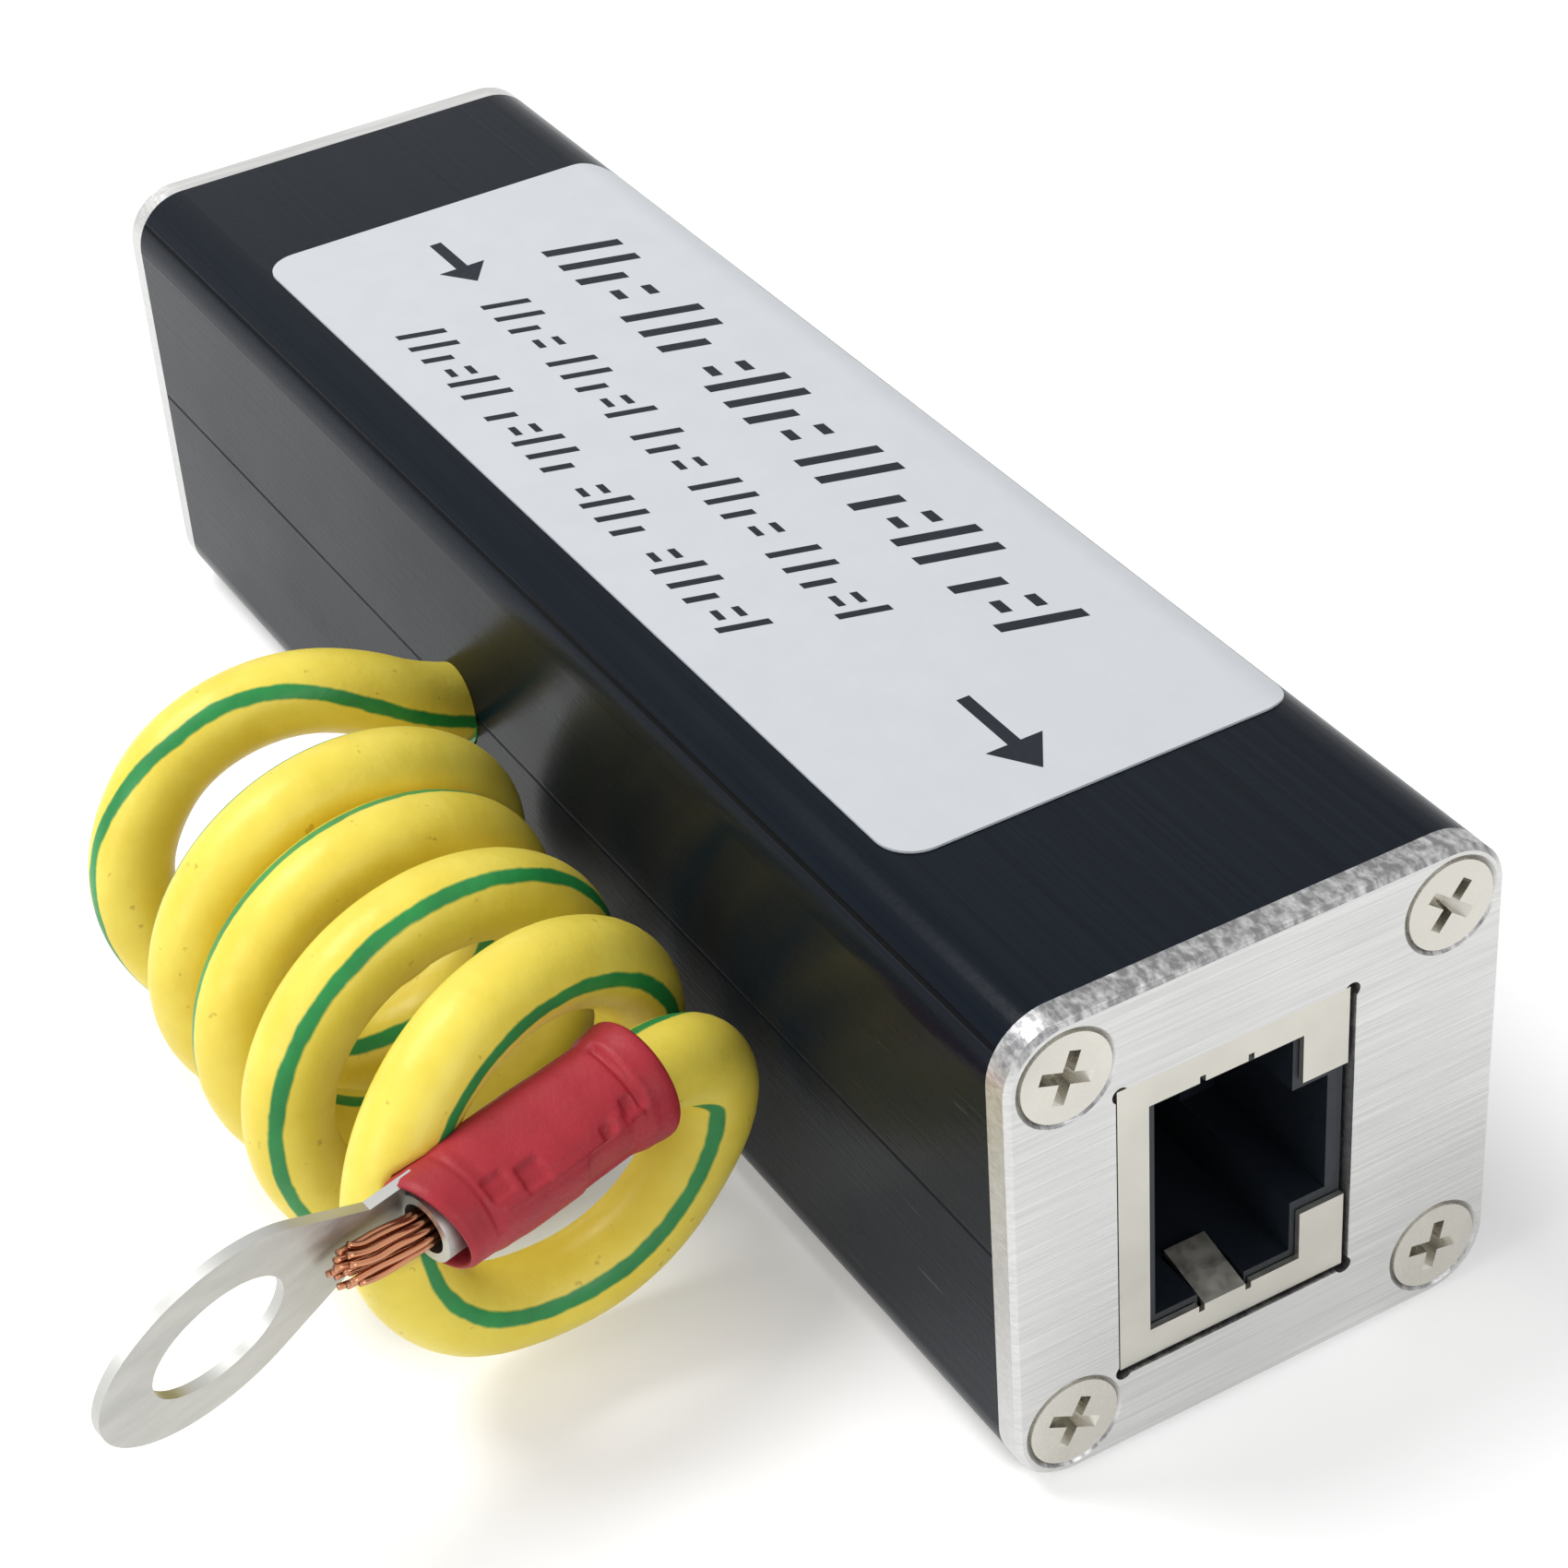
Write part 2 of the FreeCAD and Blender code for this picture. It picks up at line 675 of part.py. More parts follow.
# One contact: a pin, a run along the roof and a spring folded back from its nose
def drawContact(name, row):
    sketch = doc.addObject("Sketcher::SketchObject", name)
    half = "contactThickness / 2"
    span = "sqrt(contactSpringReach ^ 2 + contactSpringDrop ^ 2)"
    across = half + " * contactSpringDrop / " + span
    along = half + " * contactSpringReach / " + span
    fold = half + " / tan(atan(contactSpringDrop / contactSpringReach) / 2)"
    endX = "-contactNose - contactSpringReach"
    endY = "-contactCrown + contactSpringDrop"
    low = "-(contactCrown - " + half + ")"
    high = "-(contactCrown + " + half + ")"
    drawPolygon(
        sketch,
        [
            ("-" + row + " - " + half, "pinLength"),
            ("-" + row + " + " + half, "pinLength"),
            ("-" + row + " + " + half, low),
            ("-contactNose - " + fold, low),
            (endX + " - " + across, endY + " - " + along),
            (endX + " + " + across, endY + " + " + along),
            ("-contactNose + " + across, "-contactCrown + " + along),
            ("-contactNose + " + half, "-contactCrown"),
            ("-contactNose", high),
            ("-" + row + " - " + half, high),
        ],
    )
    return sketch


def makeContacts(end, sign):
    rows = [
        drawContact(end + "_contact_even", contactRow(2)),
        drawContact(end + "_contact_odd", contactRow(1)),
    ]
    strips = []
    for number in CONTACT_NUMBERS:
        strip = doc.addObject("Part::Extrusion", "%s_contact_%d" % (end, number))
        strip.Base = rows[number % 2]
        strip.DirMode = "Custom"
        strip.Dir = Vector(0, 0, 1)
        strip.Solid = True
        strip.Symmetric = True
        bind(strip, LengthFwd="contactWidth")
        place(strip, z=contactZ(number))
        strips.append(strip)
    group = doc.addObject("Part::Compound", end + "_contact_group")
    group.Links = strips
    seatJackPiece(group, sign)
    return keep(group, end + "_contacts")


# Circuit board, upright behind the jacks, with a hole for each lead

GAS_TUBE_PLACES = ["tubeFirstX", "tubeSecondX", "tubeThirdX", "tubeFourthX"]
TUBE_HALF = "(tubeCapLength + tubeCeramicLength + tubeRingLength / 2)"
TUBE_LEAD_REACH = "(%s - tubeCapLength / 2)" % TUBE_HALF
TUBE_LEAD_LEVELS = ["-" + TUBE_LEAD_REACH, "0", TUBE_LEAD_REACH]


def onBoard(sign, back, across):
    along = "%d * (%s - %s)" % (sign, JACK_FRONT, back)
    return along, JACK_LEVEL + " + %d * (%s)" % (sign, across)


def makeBoard():
    body = makeBody("circuit_board")
    outline = makeSketch(body, "board_outline", "XZ_Plane", out="-boardFaceY")
    end = "bodyLength / 2 - boardEndGap"
    low = "wallThickness + boardSideGap"
    high = "bodyHeight - wallThickness - boardSideGap"
    drawRectangle(outline, "-(" + end + ")", low, end, high)
    pad(body, outline, "boardThickness", backwards=True)

    jackHoles = makeSketch(body, "board_jack_holes", "XZ_Plane", out="-boardFaceY + 1")
    pinHoles = makeSketch(body, "board_pin_holes", "XZ_Plane", out="-boardFaceY + 1")
    for end, sign in JACK_ENDS:
        for side in (-1, 1):
            peg = onBoard(sign, "pegBack", "%d * pegSpacing / 2" % side)
            drawCircle(jackHoles, peg[0], peg[1], "pegRadius + holeClearance")
            leg = onBoard(sign, "shieldLegBack", "%d * (jackWidth - shieldThickness) / 2" % side)
            drawCircle(jackHoles, leg[0], leg[1], "shieldLegWidth / 2 + holeClearance")
        for number in CONTACT_NUMBERS:
            spot = onBoard(sign, contactRow(number), contactZ(number))
            drawCircle(pinHoles, spot[0], spot[1], "contactWidth / 2 + holeClearance")
    pocket(body, jackHoles, "boardThickness + 2")
    pocket(body, pinHoles, "boardThickness + 2")

    leadHoles = makeSketch(body, "board_lead_holes", "XZ_Plane", out="-boardFaceY + 1")
    for across in GAS_TUBE_PLACES:
        for level in TUBE_LEAD_LEVELS:
            up = "bodyHeight / 2 + " + level
            drawCircle(leadHoles, across, up, "tubeLeadRadius + holeClearance")
    drawCircle(leadHoles, "wireExitX", EXIT_LEVEL, "conductorRadius + holeClearance")
    pocket(body, leadHoles, "boardThickness + 2")
    return body


# Protection parts on the board: gas discharge tubes and clamping diodes


def makeGasTube(number, across):
    label = "gas_tube_%d" % number
    pieces = []

    def stack(name, radius, low, height):
        piece = doc.addObject("Part::Cylinder", label + "_" + name)
        bind(piece, Radius=radius, Height=height)
        place(piece, z=low)
        pieces.append(piece)

    stack("low_cap", "tubeRadius", "-" + TUBE_HALF, "tubeCapLength")
    stack("ceramic", "tubeCeramicRadius", "-" + TUBE_HALF, "2 * " + TUBE_HALF)
    stack("ring", "tubeRingRadius", "-tubeRingLength / 2", "tubeRingLength")
    stack("high_cap", "tubeRadius", TUBE_HALF + " - tubeCapLength", "tubeCapLength")
    for count, level in enumerate(TUBE_LEAD_LEVELS):
        lead = doc.addObject("Part::Cylinder", "%s_lead_%d" % (label, count))
        reach = "tubeStandOff + tubeRingRadius + boardThickness + leadProud"
        bind(lead, Radius="tubeLeadRadius", Height=reach)
        turn(lead, (1, 0, 0), -90)
        place(lead, z=level)
        pieces.append(lead)
    whole = doc.addObject("Part::MultiFuse", label + "_whole")
    whole.Shapes = pieces
    place(whole, x=across, y="boardFaceY - tubeStandOff - tubeRingRadius", z="bodyHeight / 2")
    return keep(whole, label)


def makeDiode(number, across, level):
    label = "clamping_diode_%d" % number
    case = doc.addObject("Part::Wedge", label + "_case")
    bind(case, Xmin="-diodeWidth / 2", Xmax="diodeWidth / 2", Ymin="0", Ymax="diodeHeight")
    bind(case, Zmin="-diodeLength / 2", Zmax="diodeLength / 2")
    bind(case, X2min="-(diodeWidth / 2 - diodeBevel)", X2max="diodeWidth / 2 - diodeBevel")
    bind(case, Z2min="-(diodeLength / 2 - diodeBevel)", Z2max="diodeLength / 2 - diodeBevel")
    pieces = [case]
    for name, start in (
        ("low", "-diodeLength / 2 - diodeFootLength + diodeFootOverlap"),
        ("high", "diodeLength / 2 - diodeFootOverlap"),
    ):
        foot = doc.addObject("Part::Box", "%s_%s_foot" % (label, name))
        bind(foot, Length="diodeFootWidth", Width="diodeFootHeight", Height="diodeFootLength")
        place(foot, x="-diodeFootWidth / 2", z=start)
        pieces.append(foot)
    whole = doc.addObject("Part::MultiFuse", label + "_whole")
    whole.Shapes = pieces
    turn(whole, (1, 0, 0), 180)
    place(whole, x=across, y="boardFaceY", z="bodyHeight / 2 + " + level)
    return keep(whole, label)


# Earthing wire: the stretch inside the tube, its bare end and the solder joint


def makeWireRod(name, radius, near, far):
    rod = doc.addObject("Part::Cylinder", name)
    bind(rod, Radius=radius, Height="(%s) - (%s)" % (far, near))
    turn(rod, (1, 0, 0), -90)
    place(rod, x="wireExitX", y=near, z=EXIT_LEVEL)
    return rod


def makeSolder():
    cone = doc.addObject("Part::Cone", "solder_cone")
    bind(cone, Radius1="solderRadius", Radius2="conductorRadius + 0.3", Height="solderHeight")
    turn(cone, (1, 0, 0), -90)
    back = "boardFaceY + boardThickness"
    place(cone, x="wireExitX", y=back, z=EXIT_LEVEL)
    core = makeWireRod("solder_bore", "conductorRadius", "boardFaceY", back + " + solderHeight + 1")
    joint = doc.addObject("Part::Cut", "solder_joint")
    joint.Base = cone
    joint.Tool = core
    return keep(joint, "ground_solder")


# Coil: the closed outer shape of the turns, hollow in the middle


def makeCoilRod(name, radius):
    rod = doc.addObject("Part::Cylinder", name)
    bind(rod, Radius=radius, Height="coilEndX - coilStartX")
    turn(rod, (0, 1, 0), 90)
    place(rod, x="coilStartX", y="coilCentreY", z="coilCentreZ")
    return rod


def makeCoil():
    outer = makeCoilRod("coil_outside", "turnRadius + wireRadius")
    inner = makeCoilRod("coil_inside", "turnRadius - wireRadius")
    entry = doc.addObject("Part::Box", "coil_entry")
    bind(entry, Length="2 * coilEntryRoom", Width="20", Height="2 * coilEntryRoom")
    low = EXIT_LEVEL + " - coilEntryRoom"
    place(entry, x="wireExitX - coilEntryRoom", y="coilEntryY", z=low)
    step = doc.addObject("Part::Box", "coil_step")
    bind(step, Length="20", Width="20", Height="20")
    place(step, x="coilStepX", y="coilStepY", z="coilStepZ")
    room = size("sleeveFlareRadius") + size("coilFrontSlack")
    channel = doc.addObject("Part::Box", "coil_channel")
    bind(channel, Length="sleeveLength + 8", Height="20")
    bind(channel, Width="2 * (sleeveFlareRadius + coilFrontSlack)")
    corner = onTerminal(size("sleeveStart") - 4, -room, size("barrelAxisHeight") - room)
    channel.Placement = FreeCAD.Placement(corner, terminalTurn())
    cutters = doc.addObject("Part::MultiFuse", "coil_cutters")
    cutters.Shapes = [inner, entry, step, channel]
    coil = doc.addObject("Part::Cut", "coil_shape")
    coil.Base = outer
    coil.Tool = cutters
    return keep(coil, "ground_wire_coil")


# Terminal: drawn from the ring's centre, with the wire along X and the crimp on top,
# then stood on edge in front of the coil


def terminalTurn():
    return FreeCAD.Rotation(
        size("terminalHeading"), -size("terminalSlope"), size("terminalRoll")
    )


def onTerminal(along, across, up):
    ring = Vector(size("ringCentreX"), size("ringCentreY"), size("ringCentreZ"))
    return ring + terminalTurn().multVec(Vector(along, across, up))


def seatOnTerminal(thing):
    thing.Placement = FreeCAD.Placement(Vector(0, 0, 0), terminalTurn())
    place(thing, x="ringCentreX", y="ringCentreY", z="ringCentreZ")


def makeAxialRod(name, radius, start, length, farRadius=None):
    kind = "Part::Cylinder" if farRadius is None else "Part::Cone"
    rod = doc.addObject(kind, name)
    if farRadius is None:
        bind(rod, Radius=radius, Height=length)
    else:
        bind(rod, Radius1=radius, Radius2=farRadius, Height=length)
    turn(rod, (0, 1, 0), 90)
    place(rod, x=start, z="barrelAxisHeight")
    return rod


def makeRingTerminal():
    tongue = doc.addObject("PartDesign::Body", "terminal_tongue")
    ring = makeSketch(tongue, "terminal_ring", "XY_Plane")
    drawCircle(ring, "0", "0", "ringOuterRadius")
    pad(tongue, ring, "terminalThickness", midplane=True)
    neck = makeSketch(tongue, "terminal_neck", "XY_Plane")
    root = "ringOuterRadius * 0.6"
    wide = "ringOuterRadius * 0.8"
    slim = "neckWidth / 2"
    end = "sleeveStart - terminalGap"
    corners = [(root, "-" + wide), ("neckStart", "-" + slim), (end, "-" + slim)]
    corners += [(end, slim), ("neckStart", slim), (root, wide)]
    drawPolygon(neck, corners)
    pad(tongue, neck, "terminalThickness", midplane=True)
    hole = makeSketch(tongue, "terminal_hole", "XY_Plane")
    drawCircle(hole, "0", "0", "ringHoleRadius")
    pocket(tongue, hole, "terminalThickness + 2", midplane=True)

    barrel = makeAxialRod("terminal_barrel", "barrelOuterRadius", "barrelStart", "barrelLength")
    whole = doc.addObject("Part::MultiFuse", "terminal_blank")
    whole.Shapes = [tongue, barrel]
    bore = makeAxialRod("terminal_bore", "barrelInnerRadius", "barrelStart - 1", "barrelLength + 2")
    terminal = doc.addObject("Part::Cut", "terminal_whole")
    terminal.Base = whole
    terminal.Tool = bore
    seatOnTerminal(terminal)
    return keep(terminal, "ring_terminal")


def makeSleeve():
    body = makeAxialRod("sleeve_body", "sleeveRadius", "sleeveStart", "sleeveLength")
    flareStart = "sleeveStart + sleeveLength - sleeveFlareLength"
    flare = makeAxialRod(
        "sleeve_flare", "sleeveRadius", flareStart, "sleeveFlareLength", "sleeveFlareRadius"
    )
    blank = doc.addObject("Part::MultiFuse", "sleeve_blank")
    blank.Shapes = [body, flare]
    barrelEnd = "(barrelStart + barrelLength)"
    tools = [
        makeAxialRod(
            "sleeve_bore",
            "barrelOuterRadius + sleeveGap",
            "sleeveStart - 1",
            barrelEnd + " - sleeveStart + 1.3",
        ),
        makeAxialRod(
            "sleeve_mouth",
            "wireRadius + sleeveGap",
            barrelEnd + " + 0.3",
            "sleeveStart + sleeveLength - " + barrelEnd,
        ),
    ]
    for name, start in (("first", "crimpFirst"), ("second", "crimpSecond")):
        dent = doc.addObject("Part::Box", "sleeve_dent_" + name)
        bind(dent, Length="crimpLength", Width="3 * sleeveRadius", Height="sleeveRadius")
        place(dent, x=start, y="-1.5 * sleeveRadius", z="barrelAxisHeight + crimpHeight")
        tools.append(dent)
    cutters = doc.addObject("Part::MultiFuse", "sleeve_cutters")
    cutters.Shapes = tools
    sleeve = doc.addObject("Part::Cut", "sleeve_whole")
    sleeve.Base = blank
    sleeve.Tool = cutters
    seatOnTerminal(sleeve)
    return keep(sleeve, "terminal_sleeve")


# Bare strands: the crimped core, and in front of it the tips that fan out on the tongue
def makeStrands():
    coreStart = "barrelStart + 0.9"
    coreLength = "barrelLength - 0.9 + jacketInset"
    pieces = [makeAxialRod("strand_core", "conductorRadius", coreStart, coreLength)]
    inside = size("barrelStart") + 0.8
    axisHeight = size("barrelAxisHeight")
    lowest = size("terminalThickness") / 2 + size("strandRadius") + 0.05
    for number in range(9):
        column = number // 3 - 1
        row = number % 3 - 1
        lane = 3 * column + row
        start = Vector(inside, 0.62 * column, axisHeight + 0.58 * row)
        reach = size("strandLength") - 0.35 * ((number * 5) % 4)
        end = Vector(inside - reach, lane * size("strandSpread"), lowest + 0.32 * (row + 1))
        strand = doc.addObject("Part::Cylinder", "strand_%d" % number)
        bind(strand, Radius="strandRadius")
        strand.Height = (end - start).Length
        way = FreeCAD.Rotation(Vector(0, 0, 1), end - start)
        strand.Placement = FreeCAD.Placement(start, way)
        pieces.append(strand)
    strands = doc.addObject("Part::Compound", "strands_group")
    strands.Links = pieces
    seatOnTerminal(strands)
    return keep(strands, "wire_strands")


# Tail: the free stretch of the wire from the coil's step into the sleeve


def cornerArc(before, corner, after):
    toBefore = before - corner
    toAfter = after - corner
    half = (math.pi - toBefore.getAngle(toAfter)) / 2
    trim = 0.45 * min(toBefore.Length, toAfter.Length)
    radius = trim / math.tan(half)
    toBefore.normalize()
    toAfter.normalize()
    start = corner + toBefore * trim
    end = corner + toAfter * trim
    middleWay = toBefore + toAfter
    middleWay.normalize()
    middle = corner + middleWay * (radius / math.cos(half) - radius)
    return start, middle, end, radius


def makeTube(label, route):
    edges = []
    last = route[0]
    for before, corner, after in zip(route, route[1:], route[2:]):
        start, middle, end, radius = cornerArc(before, corner, after)
        print(label, "bend radius", round(radius, 2))
        edges.append(Part.LineSegment(last, start).toShape())
        edges.append(Part.Arc(start, middle, end).toShape())
        last = end
    edges.append(Part.LineSegment(last, route[-1]).toShape())
    path = Part.Wire(edges)
    ring = Part.Wire(Part.makeCircle(size("wireRadius"), route[0], route[1] - route[0]))
    solid = path.makePipeShell([ring], True, False)
    section = math.pi * size("wireRadius") ** 2
    print(label, "volume share", round(solid.Volume / (section * path.Length), 4))
    below = Part.makeBox(100, 100, 50, Vector(-20, -70, size("coilStepZ") - 50))
    solid = solid.cut(below)
    tube = doc.addObject("Part::Feature", label + "_tube")
    tube.Shape = solid
    return keep(tube, label), path.Length


def makeTail():
    axisHeight = size("barrelAxisHeight")
    barrelEnd = size("barrelStart") + size("barrelLength")
    sleeveEnd = size("sleeveStart") + size("sleeveLength")
    route = [
        Vector(26.3, -19.15, size("coilStepZ") - 1),
        onTerminal(sleeveEnd + 4.2, 0, axisHeight),
        onTerminal(barrelEnd + size("jacketInset"), 0, axisHeight),
    ]
    return makeTube("ground_wire_tail", route)


makeHousing()
makeEndPlate("out_end_plate", 1)
makeEndPlate("in_end_plate", -1)
makeScrewSet("out_plate_screws", 1, (28.0, 12.0, 38.0, 20.0))
makeScrewSet("in_plate_screws", -1, (15.0, 33.0, 8.0, 25.0))
makeLabel()
makeBoard()
for end, sign in JACK_ENDS:
    makeShield(end, sign)
    makeJackHousing(end, sign)
    makeCarrier(end, sign)
    makeContacts(end, sign)
for number, across in enumerate(GAS_TUBE_PLACES, start=1):
    makeGasTube(number, across)
for number in range(1, 5):
    across = "diodeFirstX" if number < 3 else "diodeSecondX"
    makeDiode(number, across, "diodeLowZ" if number % 2 else "diodeHighZ")
keep(makeWireRod("inside_rod", "wireRadius", "-" + HALF_WIDTH, "wireInnerEndY"), "ground_wire_inside")
keep(
    makeWireRod(
        "bare_rod", "conductorRadius", "wireInnerEndY", "boardFaceY + boardThickness + leadProud"
    ),
    "ground_wire_conductor",
)
makeSolder()
keep(makeWireRod("lead_rod", "wireRadius", "coilEntryY", "-" + HALF_WIDTH), "ground_wire_lead")
makeCoil()
makeRingTerminal()
makeSleeve()
makeStrands()
makeTail()


def writeParts():
    doc.recompute()
    for thing in doc.Objects:
        if "Invalid" in thing.State or "Error" in thing.State:
            raise RuntimeError("%s is %s" % (thing.Name, thing.State))
    for thing in subParts:
        if thing.Shape.isNull() or not thing.Shape.isValid():
            raise RuntimeError("%s has no valid shape" % thing.Label)
    for thing in subParts:
        thing.Shape.exportStep("parts/%s.step" % thing.Label)
        print(thing.Label, len(thing.Shape.Solids), round(thing.Shape.Volume, 2))


writeParts()
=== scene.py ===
import json
import math
import random

import bmesh
import bpy
from mathutils import Matrix, Vector


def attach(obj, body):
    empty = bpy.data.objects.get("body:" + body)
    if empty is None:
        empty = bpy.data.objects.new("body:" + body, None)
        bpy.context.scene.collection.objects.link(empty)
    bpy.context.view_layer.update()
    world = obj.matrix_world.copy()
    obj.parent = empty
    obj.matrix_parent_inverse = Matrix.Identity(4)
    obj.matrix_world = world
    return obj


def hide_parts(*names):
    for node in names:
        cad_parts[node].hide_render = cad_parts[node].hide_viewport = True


# Surge protector for a network cable: a black tube with two bright end plates
# and a printed label, and a coiled earthing wire that ends in a ring terminal
# with a red sleeve. Places and sizes are in millimetres until they are used.

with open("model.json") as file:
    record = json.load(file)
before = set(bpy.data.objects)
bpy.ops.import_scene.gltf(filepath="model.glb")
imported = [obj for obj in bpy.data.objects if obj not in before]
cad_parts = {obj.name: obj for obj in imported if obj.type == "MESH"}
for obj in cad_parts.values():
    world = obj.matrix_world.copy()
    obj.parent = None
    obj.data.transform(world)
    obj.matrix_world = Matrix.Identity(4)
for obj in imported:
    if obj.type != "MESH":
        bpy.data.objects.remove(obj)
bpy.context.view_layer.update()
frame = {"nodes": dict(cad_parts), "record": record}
mm = 0.001


def millimetres(point):
    return Vector(point) * mm


# Small helpers for the nodes of a finish

def startFinish(name, colour, metallic, roughness):
    finish = bpy.data.materials.new(name)
    finish.use_nodes = True
    shader = finish.node_tree.nodes["Principled BSDF"]
    shader.inputs["Base Color"].default_value = (*colour, 1)
    shader.inputs["Metallic"].default_value = metallic
    shader.inputs["Roughness"].default_value = roughness
    return finish, shader


def join(finish, output, socket):
    finish.node_tree.links.new(output, socket)


def feed(finish, value, socket):
    # a socket takes another node's output, or a plain value
    if isinstance(value, bpy.types.NodeSocket):
        join(finish, value, socket)
    else:
        socket.default_value = value


def addNode(finish, kind, settings=None, **values):
    node = finish.node_tree.nodes.new(kind)
    for key, value in (settings or {}).items():
        setattr(node, key, value)
    for key, value in values.items():
        feed(finish, value, node.inputs[key])
    return node


def addMath(finish, operation, *values):
    node = addNode(finish, "ShaderNodeMath", {"operation": operation})
    for socket, value in zip(node.inputs, values):
        feed(finish, value, socket)
    return node.outputs[0]


def addGrain(finish, scale, detail=3, roughness=0.6):
    # noise about 0.5, with its own size along X, Y and Z, in grains a metre
    place = addNode(finish, "ShaderNodeTexCoord")
    stretch = addNode(finish, "ShaderNodeMapping", Vector=place.outputs["Object"])
    stretch.inputs["Scale"].default_value = scale
    grain = addNode(finish, "ShaderNodeTexNoise", Vector=stretch.outputs["Vector"],
                    Scale=1.0, Detail=detail, Roughness=roughness)
    return grain.outputs[0]


def addEvenGrain(finish, scale, detail=3):
    # noise of one size every way
    return addGrain(finish, (scale, scale, scale), detail)


def axisPlaces(finish):
    # the place on the surface, in millimetres, along X, Y and Z
    place = addNode(finish, "ShaderNodeTexCoord")
    parts = addNode(finish, "ShaderNodeSeparateXYZ", Vector=place.outputs["Object"])
    return [addMath(finish, "MULTIPLY", parts.outputs[axis], 1 / mm) for axis in "XYZ"]


def spread(finish, value, low, high, fromLow=0.3, fromHigh=0.7):
    # a value's own limits become low and high; most noise lies between 0.3 and 0.7
    node = addNode(finish, "ShaderNodeMapRange", Value=value)
    node.inputs["From Min"].default_value = fromLow
    node.inputs["From Max"].default_value = fromHigh
    node.inputs["To Min"].default_value = low
    node.inputs["To Max"].default_value = high
    return node.outputs[0]


def bandMask(finish, value, middle, halfWidth, soft):
    # 1 where the value is within halfWidth of the middle, 0 outside
    away = addMath(finish, "ABSOLUTE", addMath(finish, "SUBTRACT", value, middle))
    return spread(finish, away, 1.0, 0.0, halfWidth, halfWidth + soft)


def blendColours(finish, share, first, second, fromLow=0.3, fromHigh=0.7):
    # as spread does, from the first colour to the second
    ramp = addNode(finish, "ShaderNodeValToRGB", Fac=share)
    ramp.color_ramp.elements[0].position = fromLow
    ramp.color_ramp.elements[1].position = fromHigh
    ramp.color_ramp.elements[0].color = (*first, 1)
    ramp.color_ramp.elements[1].color = (*second, 1)
    return ramp.outputs["Color"]


def mixColours(finish, share, first, second):
    # a mix node's colours are its inputs 6 and 7, and its mixed colour is output 2
    mixed = addNode(finish, "ShaderNodeMix", {"data_type": "RGBA"})
    join(finish, share, mixed.inputs[0])
    for colour, socket in ((first, mixed.inputs[6]), (second, mixed.inputs[7])):
        plain = isinstance(colour, tuple)
        feed(finish, (*colour, 1) if plain else colour, socket)
    return mixed.outputs[2]


def addRelief(finish, shader, height, depth):
    # depth is in metres
    bump = addNode(finish, "ShaderNodeBump", Height=height, Strength=1.0, Distance=depth)
    join(finish, bump.outputs["Normal"], shader.inputs["Normal"])


# Camera, fitted to the photograph

camera = {
    # degrees round from -Y and above the floor, roll in degrees
    "place": (143.07, -73.59, 122.98),
    "azimuth": 61.968,
    "elevation": 36.103,
    "roll": -4.393,
    "lens": 86.56,
    "sensor": 36,
    # nearest and farthest thing that the camera sees
    "nearest": 10,
    "farthest": 10000,
}


def setCamera():
    around, above, roll = (math.radians(camera[key]) for key in ("azimuth", "elevation", "roll"))
    back = Vector((math.sin(around) * math.cos(above), -math.cos(around) * math.cos(above),
                   math.sin(above)))
    level = Vector((0, 0, 1)).cross(back).normalized()
    upright = back.cross(level)
    right = level * math.cos(roll) + upright * math.sin(roll)
    up = upright * math.cos(roll) - level * math.sin(roll)
    data = bpy.data.cameras.new("photo_camera")
    data.lens = camera["lens"]
    data.sensor_width = camera["sensor"]
    data.clip_start = camera["nearest"] * mm
    data.clip_end = camera["farthest"] * mm
    eye = bpy.data.objects.new("photo_camera", data)
    turned = Matrix((right, up, back)).transposed().to_4x4()
    eye.matrix_world = Matrix.Translation(millimetres(camera["place"])) @ turned
    bpy.context.scene.collection.objects.link(eye)
    bpy.context.scene.camera = eye


setCamera()
print("camera set")

# Light, floor and background

bpy.context.scene.view_settings.view_transform = "Standard"

studio = {
    # the world's light on the object, and how bright it is where it is seen
    "worldLight": 0.42,
    "worldSeen": 1.0,
    "worldColour": (1.0, 1.0, 1.0),
    # place, width and power in watts of each lamp
    "key": ((-150, -150, 400), 240, 1.35),
    "side": ((420, 60, 160), 260, 0.5),
    "front": ((60, -420, 200), 240, 0.6),
    "aim": (0, -5, 12),
    "floorColour": (0.86, 0.86, 0.86),
    "floorRoughness": 0.9,
    # the paper's own light by the object, and past the reach of the lamps
    "floorGlow": (0.28, 0.68),
    "glowReach": (140, 500),
    "floorSize": 6000,
    "floorDrop": 0.1,
}


def setWorld():
    # the camera, metal and glass see the world as white
    world = bpy.data.worlds.new("studio_world")
    bpy.context.scene.world = world
    world.use_nodes = True
    tree = world.node_tree
    glow = tree.nodes["Background"]
    path = tree.nodes.new("ShaderNodeLightPath")
    seen = path.outputs["Is Camera Ray"]
    for kind in ("Is Glossy Ray", "Is Transmission Ray"):
        either = tree.nodes.new("ShaderNodeMath")
        either.operation = "MAXIMUM"
        tree.links.new(seen, either.inputs[0])
        tree.links.new(path.outputs[kind], either.inputs[1])
        seen = either.outputs[0]
    strength = tree.nodes.new("ShaderNodeMapRange")
    strength.inputs["To Min"].default_value = studio["worldLight"]
    strength.inputs["To Max"].default_value = studio["worldSeen"]
    tree.links.new(seen, strength.inputs["Value"])
    glow.inputs["Color"].default_value = (*studio["worldColour"], 1)
    tree.links.new(strength.outputs[0], glow.inputs["Strength"])


